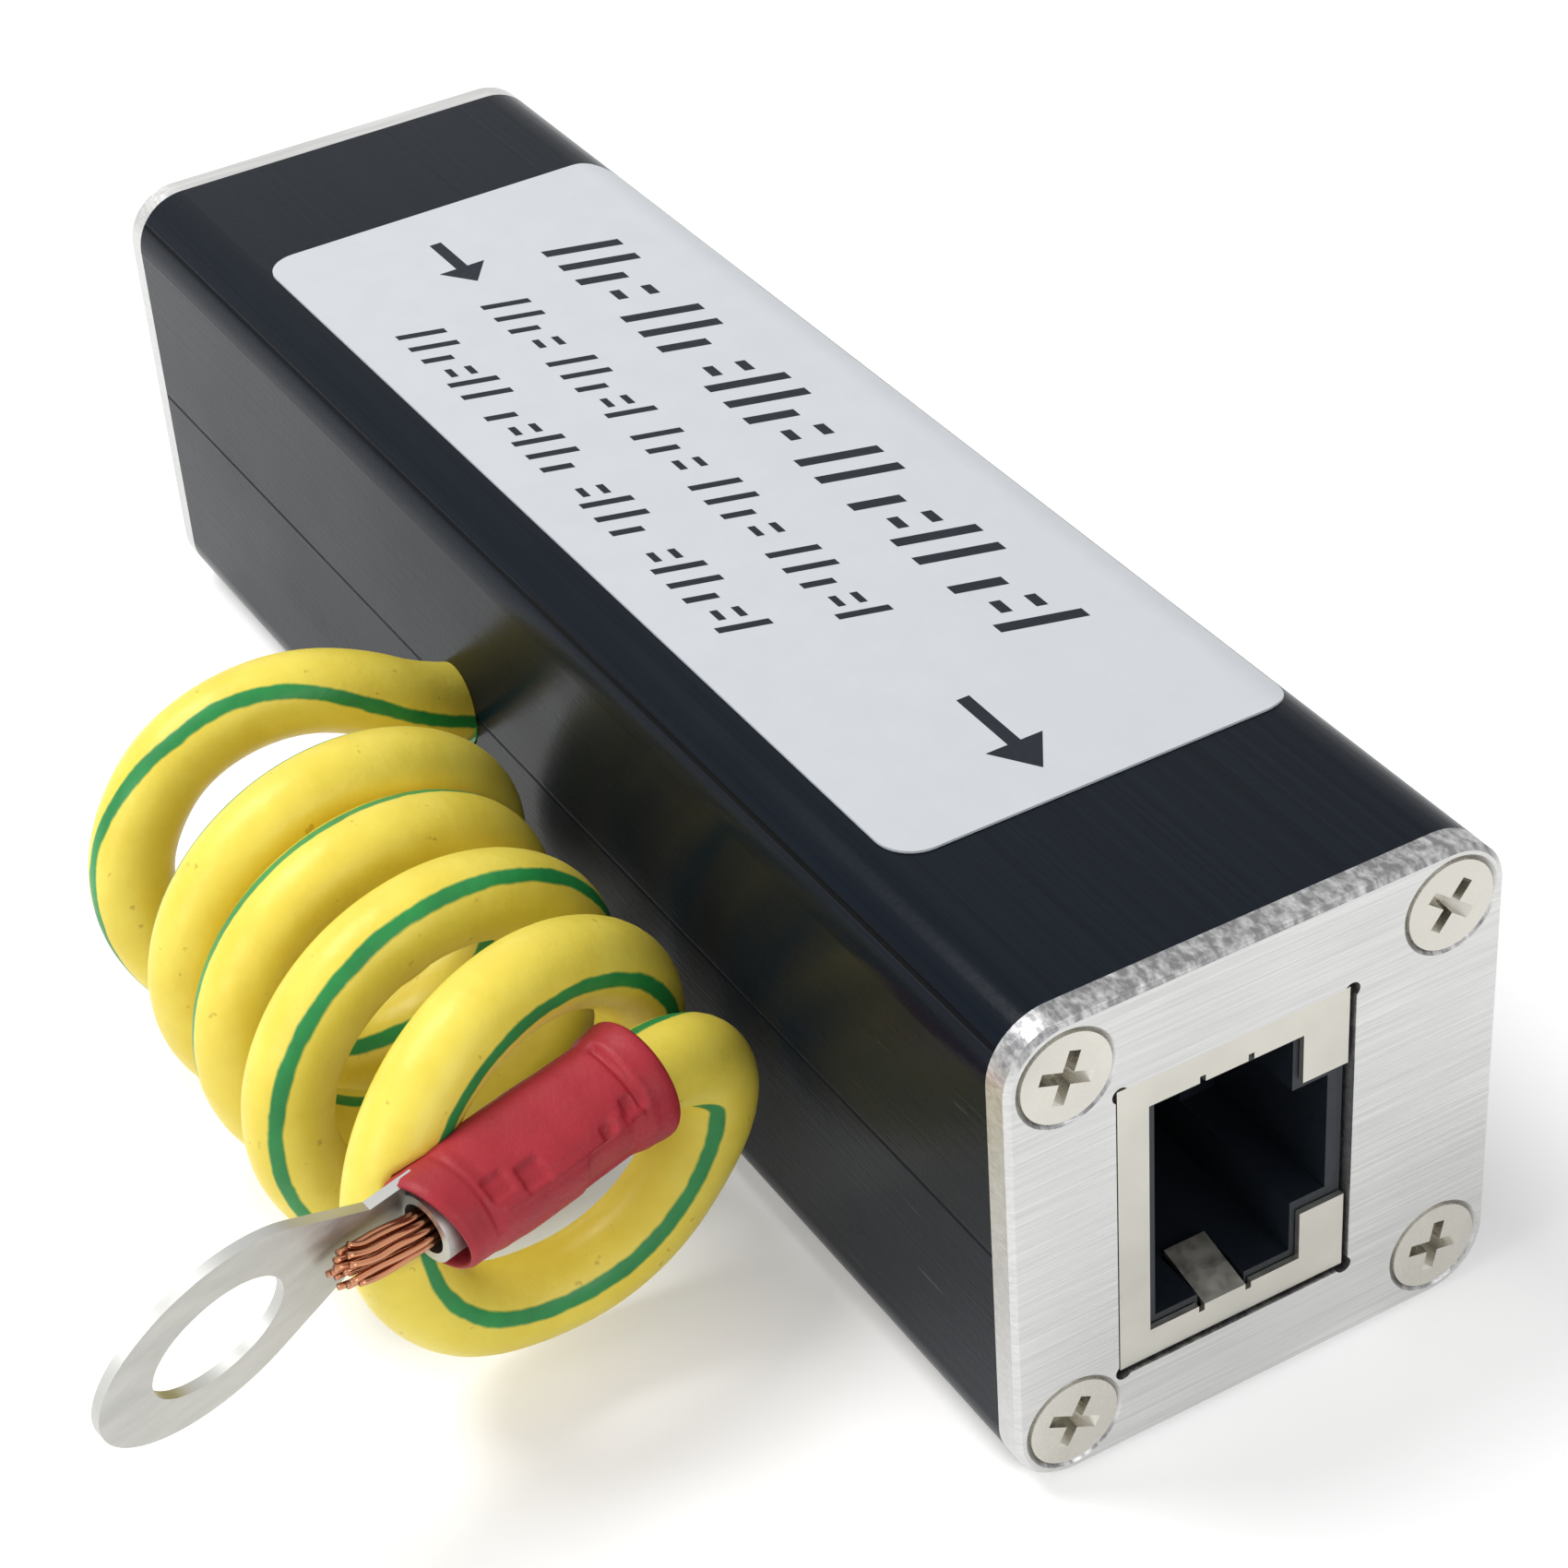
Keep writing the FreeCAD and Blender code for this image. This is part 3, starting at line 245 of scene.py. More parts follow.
def addLamp(name, place, size, power):
    data = bpy.data.lights.new(name, "AREA")
    data.shape = "DISK"
    data.size = size * mm
    data.energy = power
    lamp = bpy.data.objects.new(name, data)
    lamp.location = millimetres(place)
    aim = millimetres(studio["aim"]) - lamp.location
    lamp.rotation_euler = aim.to_track_quat("-Z", "Y").to_euler()
    bpy.context.scene.collection.objects.link(lamp)


def setFloor():
    shape = bmesh.new()
    bmesh.ops.create_grid(shape, x_segments=1, y_segments=1, size=studio["floorSize"] / 2 * mm)
    mesh = bpy.data.meshes.new("floor")
    shape.to_mesh(mesh)
    shape.free()
    floor = bpy.data.objects.new("floor", mesh)
    bpy.context.scene.collection.objects.link(floor)
    floor.location.z = -studio["floorDrop"] * mm
    finish, shader = startFinish("floor_paper", studio["floorColour"], 0.0,
                                 studio["floorRoughness"])
    shader.inputs["Specular IOR Level"].default_value = 0.0
    # the camera sees the paper as white, and the shadow stays on it
    path = addNode(finish, "ShaderNodeLightPath")
    seen = addMath(finish, "MAXIMUM", path.outputs["Is Camera Ray"],
                   addMath(finish, "MAXIMUM", path.outputs["Is Glossy Ray"],
                           path.outputs["Is Transmission Ray"]))
    shader.inputs["Emission Color"].default_value = (1, 1, 1, 1)
    place = addNode(finish, "ShaderNodeTexCoord")
    reach = addNode(finish, "ShaderNodeVectorMath", {"operation": "LENGTH"})
    join(finish, place.outputs["Object"], reach.inputs[0])
    near, far = (end * mm for end in studio["glowReach"])
    glow = spread(finish, reach.outputs["Value"], *studio["floorGlow"], near, far)
    join(finish, addMath(finish, "MULTIPLY", seen, glow), shader.inputs["Emission Strength"])
    mesh.materials.append(finish)


setWorld()
for lampName in ("key", "side", "front"):
    addLamp(lampName, *studio[lampName])
setFloor()
print("studio set")

# Earthing wire: its route is a short lead, the loose turns and a tight fold

wire = {
    # the place on the wall, and the points from there to the first loop
    "exit": (-6.3, -12.8, 12.78),
    "radius": 2.13,
    "lead": [(-5.16, -15.52, 14.4), (-5.12, -18.33, 16.44), (-5.44, -21.63, 17.66),
             (-5.65, -25.26, 17.54), (-5.59, -28.51, 16.25)],
    # the coil: its first and last turn, the steps between them, and its axis
    "firstTurn": 0.2,
    "lastTurn": 4.45,
    "points": 68,
    "axisStart": (-4.796, -24.445, 10.177),
    "axisStep": (6.688, -0.025, 0.087),
    "loopWidth": 8.35,
    "loopLength": 8.672,
    # how the loops lean: degrees at the first turn, and how many more at the last
    "heading": (-4.882, 12.765),
    "lift": (1.557, 2.773),
    "rise": (13.4, 7.761),
    "leanTurns": 5,
    "leanLimits": (-0.2, 1.1),
    # how large the loop is, and how far it stands along the axis, each quarter turn
    "loopSizes": [0.776, 0.873, 0.962, 1.045, 1.043, 1.006, 0.905, 0.912, 0.944, 0.996,
                  0.954, 0.943, 0.976, 1.024, 1.008, 1.006, 0.997, 0.968, 0.906, 0.831],
    "loopShifts": [-1.78, -1.23, -0.73, 0.44, 2.11, 2.17, -0.15, -0.38, 0.24, 0.24,
                   -0.75, -0.58, -0.32, -0.66, -1.56, -1.2, -0.09, 1.57, 1.03, 0.46],
    # from the last loop's underside, round the fold and into the sleeve
    "fold": [(26.1, -26.41, 3.72), (26.14, -23.07, 3.92), (25.99, -20.03, 5.2),
             (25.62, -17.56, 7.33), (25.47, -15.97, 9.69), (25.54, -15.79, 11.92),
             (25.97, -17.06, 13.57), (26.62, -19.94, 14.33), (27.7, -24.43, 14.09)],
    "sides": 32,
    # turn of the coil, and the way round the wire in degrees where a stripe runs there
    "stripes": [(-0.6, -60), (-0.08, 3), (0.1, 51), (0.27, 90), (1.1, 196), (1.85, 200),
                (2.05, 209), (2.2, 216), (2.35, 211), (2.8, 192), (4.65, 192), (4.8, 185),
                (4.93, 155)],
}


def quarterValue(values, turn):
    # the value between the quarter turns, on a smooth line through them
    place = turn * 4
    number = int(min(max(place, 0), len(values) - 2))
    share = place - number
    before = values[number - 1] if number else 2 * values[0] - values[1]
    last = len(values) - 1
    after = values[number + 2] if number + 2 <= last else 2 * values[last] - values[last - 1]
    first, second = values[number], values[number + 1]
    return 0.5 * (2 * first + (second - before) * share
                  + (2 * before - 5 * first + 4 * second - after) * share ** 2
                  + (3 * first - before - 3 * second + after) * share ** 3)


def coilPoint(turn):
    least, most = wire["leanLimits"]
    share = min(max(turn / wire["leanTurns"], least), most)
    heading, lift, rise = (math.radians(wire[key][0] + wire[key][1] * share)
                           for key in ("heading", "lift", "rise"))
    flat = Vector((math.sin(heading), -math.cos(heading), 0))
    steep = Vector((math.sin(lift) * math.cos(heading), math.sin(lift) * math.sin(heading),
                    math.cos(lift)))
    along = flat * math.cos(rise) + steep * math.sin(rise)
    across = steep * math.cos(rise) - flat * math.sin(rise)
    size = quarterValue(wire["loopSizes"], turn)
    angle = 2 * math.pi * turn
    centre = Vector(wire["axisStart"]) + Vector(wire["axisStep"]) * turn
    centre.x += quarterValue(wire["loopShifts"], turn)
    return (centre + across * (wire["loopWidth"] * size * math.cos(angle))
            + along * (wire["loopLength"] * size * math.sin(angle)))


def turnAt(number):
    # which turn of the coil the route's control point with this number is on
    step = (wire["lastTurn"] - wire["firstTurn"]) / wire["points"]
    return wire["firstTurn"] + (number - 1 - len(wire["lead"])) * step


def wireRoute():
    points = [Vector(point) for point in (wire["exit"], *wire["lead"])]
    for number in range(len(points), len(points) + wire["points"] + 1):
        points.append(coilPoint(turnAt(number)))
    return points + [Vector(point) for point in wire["fold"]]


def smoothLine(points, steps=10):
    # the smooth line that follows a route, read back as places in metres
    data = bpy.data.curves.new("route", "CURVE")
    data.dimensions = "3D"
    data.resolution_u = steps
    spline = data.splines.new("NURBS")
    spline.points.add(len(points) - 1)
    for knot, point in zip(spline.points, points):
        knot.co = (*millimetres(point), 1)
    spline.order_u = 3
    spline.use_endpoint_u = True
    carrier = bpy.data.objects.new("route", data)
    bpy.context.scene.collection.objects.link(carrier)
    line = bpy.data.meshes.new_from_object(
        carrier.evaluated_get(bpy.context.evaluated_depsgraph_get()))
    places = [vertex.co.copy() for vertex in line.vertices]
    bpy.data.objects.remove(carrier)
    bpy.data.curves.remove(data)
    bpy.data.meshes.remove(line)
    return places


def directions(places):
    # which way the line runs at each of its places
    ways = []
    for number in range(len(places)):
        before = places[max(number - 1, 0)]
        after = places[min(number + 1, len(places) - 1)]
        ways.append((after - before).normalized())
    return ways


def meshPiece(name, shape, finish, smooth=True):
    mesh = bpy.data.meshes.new(name)
    bmesh.ops.recalc_face_normals(shape, faces=shape.faces)
    shape.to_mesh(mesh)
    shape.free()
    for face in mesh.polygons:
        face.use_smooth = smooth
    piece = bpy.data.objects.new(name, mesh)
    bpy.context.scene.collection.objects.link(piece)
    mesh.materials.append(finish)
    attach(piece, "root")
    return piece


def addTube(shape, places, radius, sides, sideways, turnedBy=None, mapStep=0.02):
    # a round tube along the places; its map counts the way round it and the rings
    around = shape.loops.layers.uv.get("wire_map") or shape.loops.layers.uv.new("wire_map")
    normal = Vector(sideways)
    rings = []
    for place, way in zip(places, directions(places)):
        normal = (normal - way * normal.dot(way)).normalized()
        other = way.cross(normal)
        rings.append([shape.verts.new(place + (normal * math.cos(angle)
                                               + other * math.sin(angle)) * radius)
                      for angle in (2 * math.pi * side / sides for side in range(sides))])
    for number in range(len(rings) - 1):
        for side in range(sides):
            after = (side + 1) % sides
            face = shape.faces.new((rings[number][side], rings[number][after],
                                    rings[number + 1][after], rings[number + 1][side]))
            marks = ((side, number), (side + 1, number), (side + 1, number + 1),
                     (side, number + 1))
            for corner, (column, row) in zip(face.loops, marks):
                turned = turnedBy(row) if turnedBy else 0.0
                corner[around].uv = (column / sides - turned, row * mapStep)
    shape.faces.new(list(reversed(rings[0])))
    shape.faces.new(rings[-1])


def stripeAngle(number, total):
    # the share of a turn round the wire at which a stripe's middle runs; the smooth
    # line passes a control point half a step before that point's number
    controls = len(wire["lead"]) + wire["points"] + 2 + len(wire["fold"])
    turn = turnAt(number / (total - 1) * (controls - 2) + 0.5)
    marks = wire["stripes"]
    if turn <= marks[0][0]:
        return marks[0][1] / 360
    for (firstTurn, firstAngle), (nextTurn, nextAngle) in zip(marks, marks[1:]):
        if turn <= nextTurn:
            share = (turn - firstTurn) / (nextTurn - firstTurn)
            share = share * share * (3 - 2 * share)
            return (firstAngle + (nextAngle - firstAngle) * share) / 360
    return marks[-1][1] / 360


jacket = {
    # colour and roughness on the shader itself, under the patterns
    "plain": (0.80, 0.60, 0.04),
    "plainRoughness": 0.38,
    "yellow": ((0.80, 0.63, 0.07), (0.88, 0.73, 0.11)),
    "green": ((0.018, 0.20, 0.055), (0.028, 0.30, 0.075)),
    "speck": (0.40, 0.24, 0.03),
    # grains a metre: of the colours, the specks, the waver, the shine and the ripple
    "mottleGrain": 300,
    "speckGrain": 1300,
    "waverGrain": 700,
    "shineGrain": 900,
    "rippleGrain": 1500,
    # half a stripe's width, its soft edge and its waver, as shares of half a turn
    "stripe": 0.056,
    "stripeEdge": 0.01,
    "waver": 0.008,
    # how much the specks cover, and the part of the noise that they take
    "speckCover": 0.5,
    "speckPart": (0.70, 0.76),
    "roughness": (0.32, 0.46),
    "specular": 0.32,
    # how much light goes in, and how far each colour of it goes, in metres
    "inside": 0.05,
    "insideReach": (0.001, 0.0007, 0.0002),
    # height of a stripe as a share of the ripple's depth, which is in metres
    "stripeRise": 0.4,
    "relief": 0.00003,
}


def jacketFinish():
    finish, shader = startFinish("striped_jacket", jacket["plain"], 0.0,
                                 jacket["plainRoughness"])
    shader.inputs["Specular IOR Level"].default_value = jacket["specular"]
    shader.inputs["Subsurface Weight"].default_value = jacket["inside"]
    shader.inputs["Subsurface Radius"].default_value = jacket["insideReach"]
    place = addNode(finish, "ShaderNodeUVMap", {"uv_map": "wire_map"})
    parts = addNode(finish, "ShaderNodeSeparateXYZ", Vector=place.outputs[0])
    # two stripes, half a turn apart, with a slightly wavering edge
    twice = addMath(finish, "MULTIPLY", parts.outputs["X"], 2.0)
    off = addMath(finish, "PINGPONG", twice, 0.5)
    waver = spread(finish, addEvenGrain(finish, jacket["waverGrain"], 2),
                   -jacket["waver"], jacket["waver"])
    half, edge = jacket["stripe"], jacket["stripeEdge"]
    stripe = spread(finish, addMath(finish, "ADD", off, waver), 1.0, 0.0, half - edge,
                    half + edge)
    mottle = addEvenGrain(finish, jacket["mottleGrain"], 4)
    yellow = blendColours(finish, mottle, *jacket["yellow"])
    specks = spread(finish, addEvenGrain(finish, jacket["speckGrain"], 2), 0.0,
                    jacket["speckCover"], *jacket["speckPart"])
    dusty = mixColours(finish, specks, yellow, jacket["speck"])
    green = blendColours(finish, mottle, *jacket["green"])
    join(finish, mixColours(finish, stripe, dusty, green), shader.inputs["Base Color"])
    shine = addEvenGrain(finish, jacket["shineGrain"])
    join(finish, spread(finish, shine, *jacket["roughness"]), shader.inputs["Roughness"])
    ripple = addMath(finish, "ADD", addEvenGrain(finish, jacket["rippleGrain"]),
                     addMath(finish, "MULTIPLY", stripe, jacket["stripeRise"]))
    addRelief(finish, shader, ripple, jacket["relief"])
    return finish


pressed = {
    # room the sleeve takes about its axis, where that room starts, the length
    # over which it grows, and where it ends
    "sleeveRoom": 2.63,
    "sleeveStart": 8.8,
    "sleeveGrowth": 1.4,
    "sleeveEnd": 23,
    # the neck's back and front, measured out from the sleeve's axis, its reach
    # from and to, and half its width
    "neckBack": -1.88,
    "neckFront": 1,
    "neckReach": (6, 10.2),
    "neckHalfWidth": 2.7,
    # rings of the tube in the end that goes into the sleeve, which stay round
    "roundEnd": 60,
}


def pressFlat(vertices):
    # the loop behind the terminal is pressed flat where it lies on the sleeve and the neck
    along, face, side = terminalFrame()
    ring = Vector(terminal["ring"])
    low, high = pressed["neckReach"]
    deepest = 0
    for vertex in vertices:
        place = vertex.co / mm - ring
        reach, out, across = place.dot(along), place.dot(face), place.dot(side)
        out -= terminal["barrelHeight"]
        grown = (reach - pressed["sleeveStart"]) / pressed["sleeveGrowth"]
        room = pressed["sleeveRoom"] * min(max(grown, 0), 1)
        away = math.hypot(out, across)
        onNeck = low < reach < high and abs(across) < pressed["neckHalfWidth"]
        moved = Vector((0, 0, 0))
        if reach < pressed["sleeveEnd"] and away < room:
            moved = (face * out + side * across) * (room / away - 1)
        elif onNeck and pressed["neckBack"] < out < pressed["neckFront"]:
            moved = face * (pressed["neckBack"] - out)
        vertex.co += moved * mm
        deepest = max(deepest, moved.length)
    print("wire pressed flat, millimetres:", round(deepest, 2))


def buildWire(finish):
    places = smoothLine(wireRoute())
    shape = bmesh.new()
    addTube(shape, places, wire["radius"] * mm, wire["sides"], (1, 0, 0),
            lambda number: stripeAngle(number, len(places)))
    shape.verts.ensure_lookup_table()
    pressFlat(shape.verts[:(len(places) - pressed["roundEnd"]) * wire["sides"]])
    piece = meshPiece("earthing_wire", shape, finish)
    total = sum((second - first).length for first, second in zip(places, places[1:]))
    print("earthing wire, metres:", round(total, 4))
    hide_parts("ground_wire_lead", "ground_wire_coil", "ground_wire_tail")
    return piece, places, total


# Ring terminal: its own frame, from which the sleeve and the strands take their places

terminal = {
    # the ring's middle, the way from it to the sleeve, and the roll about that way
    "ring": (30.4, -42.27, 13.78),
    "heading": 103.4,
    "slope": 2.7,
    "roll": 109.8,
    # how far the barrel's axis stands out from the ring's middle plane
    "barrelHeight": 1.6,
}


def terminalFrame():
    # three directions: along the terminal, out from its face, and across it
    heading, slope, roll = (math.radians(terminal[key]) for key in ("heading", "slope", "roll"))
    along = Vector((math.cos(slope) * math.cos(heading), math.cos(slope) * math.sin(heading),
                    math.sin(slope)))
    level = Vector((-math.sin(heading), math.cos(heading), 0))
    upright = along.cross(level)
    face = upright * math.cos(roll) - level * math.sin(roll)
    return along, face, face.cross(along)


def onTerminal(reach, out, across):
    # a place in millimetres: along the terminal, out from its axis, and across it
    along, face, side = terminalFrame()
    return (Vector(terminal["ring"]) + along * reach
            + face * (terminal["barrelHeight"] + out) + side * across)


sleeve = {
    "start": 10.7,
    "end": 22.4,
    "rings": 130,
    "sides": 120,
    # reach, half size out from the terminal's face, half size across it, squareness
    "outline": [(10.7, 2.46, 2.46, 2.0), (10.95, 2.58, 2.58, 2.0), (12.0, 2.58, 2.52, 2.1),
                (12.8, 2.62, 2.30, 2.7), (14.5, 2.68, 2.20, 3.1), (16.5, 2.66, 2.26, 3.1),
                (18.6, 2.58, 2.40, 2.9), (20.3, 2.60, 2.50, 2.6), (21.1, 2.86, 2.84, 2.1),
                (22.0, 2.98, 2.98, 2.0), (22.25, 2.96, 2.96, 2.0), (22.4, 2.84, 2.84, 2.0)],
    "bore": [(22.4, 2.62), (22.2, 2.46), (21.0, 2.26), (18.2, 2.18), (17.2, 1.9), (13.2, 1.84),
             (12.2, 2.0), (10.95, 2.24), (10.7, 2.34)],
    # how far the front edge leans forward, the way round where it leans most, and
    # the reach where the lean ends
    "lean": 1.1,
    "leanWay": 155,
    "leanEnd": 13.0,
    # crimp marks: reach, way round in degrees, half length, half width in degrees, depth
    "marks": [(12.95, 60, 0.55, 12, 0.20), (14.55, 51, 0.62, 12, 0.24),
              (12.15, 75, 0.10, 60, 0.10), (20.6, 83, 0.17, 40, 0.24),
              (20.0, 52, 0.30, 7, 0.20), (19.2, 46, 0.26, 6, -0.12), (18.5, 42, 0.26, 6, 0.20),
              (19.6, 38, 0.95, 3, -0.14), (16.2, 36, 3.6, 3, -0.10),
              (18.75, 0, 1.5, 33, 0.26), (17.6, 212, 1.6, 30, 0.20), (13.6, 250, 1.0, 20, 0.15)],
    # softness of a mark's edges, along and in degrees
    "soft": 0.035,
    "softWay": 0.8,
}


def between(rows, reach):
    # the row's other values at a reach, eased from one row to the next
    first = rows[0]
    for second in rows[1:]:
        if (reach - first[0]) * (reach - second[0]) <= 0:
            break
        first = second
    share = (reach - first[0]) / (second[0] - first[0] or 1)
    share = min(max(share, 0), 1)
    share = share * share * (3 - 2 * share)
    return [one + (other - one) * share for one, other in zip(first[1:], second[1:])]


def boxMask(away, half, soft):
    # 1 within half a width of the middle, falling softly to 0 outside
    return 1 / (1 + math.exp((abs(away) - half) / soft))


def sleeveRadius(reach, degrees):
    # a rounded square or circle, less the crimp marks
    out, across, power = between(sleeve["outline"], reach)
    angle = math.radians(degrees)
    radius = (abs(math.cos(angle) / out) ** power
              + abs(math.sin(angle) / across) ** power) ** (-1 / power)
    for place, way, halfLength, halfWidth, depth in sleeve["marks"]:
        turned = (degrees - way + 180) % 360 - 180
        radius -= (depth * boxMask(reach - place, halfLength, sleeve["soft"])
                   * boxMask(turned, halfWidth, sleeve["softWay"]))
    return radius


def leanAt(reach, angle):
    # how far a place at this reach and way round stands forward
    end = sleeve["leanEnd"]
    share = min(max((end - reach) / (end - sleeve["start"]), 0), 1)
    way = math.radians(sleeve["leanWay"])
    return sleeve["lean"] * share * (0.5 + 0.5 * math.cos(angle - way))


def addRing(shape, reach, radii):
    ring = []
    for number, radius in enumerate(radii):
        angle = 2 * math.pi * number / len(radii)
        place = onTerminal(reach - leanAt(reach, angle), radius * math.cos(angle),
                           radius * math.sin(angle))
        ring.append(shape.verts.new(millimetres(place)))
    return ring


def joinRings(shape, rings):
    # faces from each ring to the next, and from the last to the first
    for first, second in zip(rings, rings[1:] + rings[:1]):
        for number in range(len(first)):
            after = (number + 1) % len(first)
            shape.faces.new((first[number], first[after], second[after], second[number]))


def buildSleeve(finish):
    shape = bmesh.new()
    rings = []
    turnSteps = [360 * number / sleeve["sides"] for number in range(sleeve["sides"])]
    for number in range(sleeve["rings"] + 1):
        share = number / sleeve["rings"]
        reach = sleeve["start"] + (sleeve["end"] - sleeve["start"]) * share
        rings.append(addRing(shape, reach, [sleeveRadius(reach, step) for step in turnSteps]))
    for reach, radius in sleeve["bore"]:
        rings.append(addRing(shape, reach, [radius] * sleeve["sides"]))
    joinRings(shape, rings)
    piece = meshPiece("crimp_sleeve", shape, finish)
    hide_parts("terminal_sleeve")
    return piece


strands = {
    "radius": 0.16,
    "spacing": 0.37,
    # strands in each ring round the middle one, and how far a ring is turned
    "rings": (6, 12),
    "ringTurn": 0.2,
    # reach of a strand's points from inside the barrel forward; the tip's is scattered
    "reaches": (12.6, 9.9, 8.2, 6.8),
    "tip": 5.9,
    "tipScatter": 0.55,
    # at each point: how far the bundle is spread out and across, how far it sinks
    # to the plate, and its share of the drift across
    "spread": ((0.95, 0.95, 0, 0), (1, 1, 0, 0), (1.04, 1.05, 0.15, 0.3),
               (1.2, 1.15, 0.32, 0.7), (1.2, 1.2, 0.48, 1)),
    "drift": 0.55,
    "sway": 0.15,
    # a tip sways as its third point does, but further
    "tipSway": (1.5, 1.6),
    # height over the ring's middle plane that the strands keep free
    "plateRoom": 0.55,
    "sides": 10,
    "steps": 6,
    "seed": 7,
}


def strandPlaces():
    # the middle strand and the rings round it
    places = [(0.0, 0.0)]
    for ring, count in enumerate(strands["rings"], 1):
        for number in range(count):
            angle = 2 * math.pi * number / count + strands["ringTurn"] * ring
            places.append((ring * strands["spacing"] * math.cos(angle),
                           ring * strands["spacing"] * math.sin(angle)))
    return places


def buildStrands(finish):
    chance = random.Random(strands["seed"])
    shape = bmesh.new()
    lowest = strands["plateRoom"] + strands["radius"] - terminal["barrelHeight"]
    for out, across in strandPlaces():
        tip = strands["tip"] + chance.uniform(-1, 1) * strands["tipScatter"]
        sway = [chance.uniform(-1, 1) * strands["sway"] for _ in range(4)]
        tipSway = [part * more for part, more in zip(sway, strands["tipSway"])]
        sways = ((0, 0), (0, 0), sway[:2], sway[2:], tipSway)
        route = []
        for reach, spreads, (swayOut, swayAcross) in zip((*strands["reaches"], tip),
                                                         strands["spread"], sways):
            spreadOut, spreadAcross, sink, drift = spreads
            route.append(onTerminal(
                reach, max(out * spreadOut + swayOut - sink, lowest),
                across * spreadAcross + swayAcross + strands["drift"] * drift))
        addTube(shape, smoothLine(route, strands["steps"]), strands["radius"] * mm,
                strands["sides"], (0, 0, 1))
    piece = meshPiece("copper_strands", shape, finish)
    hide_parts("wire_strands")
    return piece


# Print on the label: plain slanted strokes and an arrow at each end, no letters

printing = {
    "height": 25.72,
    "film": 0.012,
    "lean": 0.30,
    # start, middle line and height of a row, its stroke, its gap, and marks a group
    "rows": [(-24.2, 5.35, 4.1, 0.74, 1.24, (4, 3, 5, 2, 4, 3)),
             (-21.0, -0.95, 2.5, 0.50, 1.11, (4, 5, 3, 4, 5)),
             (-20.8, -6.1, 2.5, 0.50, 1.04, (6, 5, 4, 6))],
    "groupGap": 1.1,
    # top of a short stroke and middles of the dashes, as shares of the row's height
    "shortTop": 0.12,
    "dashes": (0.18, -0.22),
    # a dash's length as a share of the gap, and half its width as one of the stroke
    "dashLength": 0.9,
    "dashHalf": 0.36,
    # start of the stem, start and tip of the head, middle line, half height
    "arrows": [(-29.2, -25.9, -24.0, -1.0, 1.35), (24.4, 28.6, 30.9, -1.0, 1.5)],
    "stem": 0.34,
}


def addFlatShape(shape, corners):
    # a thin closed plate on the label, from its corners as seen from above
    low = printing["height"]
    lower = [shape.verts.new(millimetres((x, y, low))) for x, y in corners]
    upper = [shape.verts.new(millimetres((x, y, low + printing["film"]))) for x, y in corners]
    shape.faces.new(list(reversed(lower)))
    shape.faces.new(upper)
    for number in range(len(corners)):
        after = (number + 1) % len(corners)
        shape.faces.new((lower[number], lower[after], upper[after], upper[number]))


def addSlanted(shape, x, width, low, high, middle):
    # a stroke from its low to its high edge, leaning about the row's middle line
    left, right = ((level - middle) * printing["lean"] for level in (low, high))
    addFlatShape(shape, [(x + left, low), (x + width + left, low),
                         (x + width + right, high), (x + right, high)])


def addMark(shape, kind, x, middle, height, stroke, gap):
    # two full strokes, then a short one, then two dashes
    if kind == 3:
        for dash in printing["dashes"]:
            level = middle + dash * height
            half = stroke * printing["dashHalf"]
            addSlanted(shape, x, gap * printing["dashLength"], level - half, level + half,
                       middle)
    else:
        top = height / 2 if kind < 2 else height * printing["shortTop"]
        addSlanted(shape, x, stroke, middle - height / 2, middle + top, middle)


def buildPrint(finish):
    shape = bmesh.new()
    for start, middle, height, stroke, gap, groups in printing["rows"]:
        x = start
        marks = 0
        for count in groups:
            for _ in range(count):
                addMark(shape, marks % 4, x, middle, height, stroke, gap)
                x += stroke + gap
                marks += 1
            x += printing["groupGap"]
    for start, head, tip, middle, half in printing["arrows"]:
        stem = printing["stem"]
        addFlatShape(shape, [(start, middle - stem), (head, middle - stem),
                             (head, middle + stem), (start, middle + stem)])
        addFlatShape(shape, [(head, middle - half), (tip, middle), (head, middle + half)])
    return meshPiece("label_print", shape, finish, smooth=False)


# Finishes of the metal, plastic and film parts

housing = {
    "colours": ((0.0030, 0.0058, 0.0100), (0.0062, 0.0098, 0.0165)),
    "plainRoughness": 0.3,
    "roughness": (0.18, 0.30),
    "specular": 0.065,
    # grains a metre along X, Y and Z: of the drawn surface, its clouds and its specks
    "drawnGrain": (9, 4200, 4200),
    "cloudGrain": (60, 90, 90),
    "speckGrain": 2600,
    "speckRise": 0.6,
    # dark lines along the tube, as height, half width and depth; the upper one, on the rounded
    # top edge, is painted shade where that edge's reflection breaks
    "darkLines": ((24.22, 0.07, 0.9), (13.22, 0.07, 0.7)),
    "lineColour": (0.002, 0.002, 0.003),
    "lineRoughness": 0.4,
    "lineRise": -6.0,
    # fine rubbed lines near the end of the side wall: middle, half size and soft
    # edge of their place along the tube and up it, and the part of the noise
    "rubbedAlong": (38.0, 4.0, 3.0),
    "rubbedUp": (12.0, 9.0, 2.0),
    "rubbedGrain": (160, 5200, 2600),
    "rubbedPart": (0.70, 0.76),
    "rubbedCover": 0.35,
    "rubbedColour": (0.10, 0.10, 0.10),
    "relief": 0.000010,
}


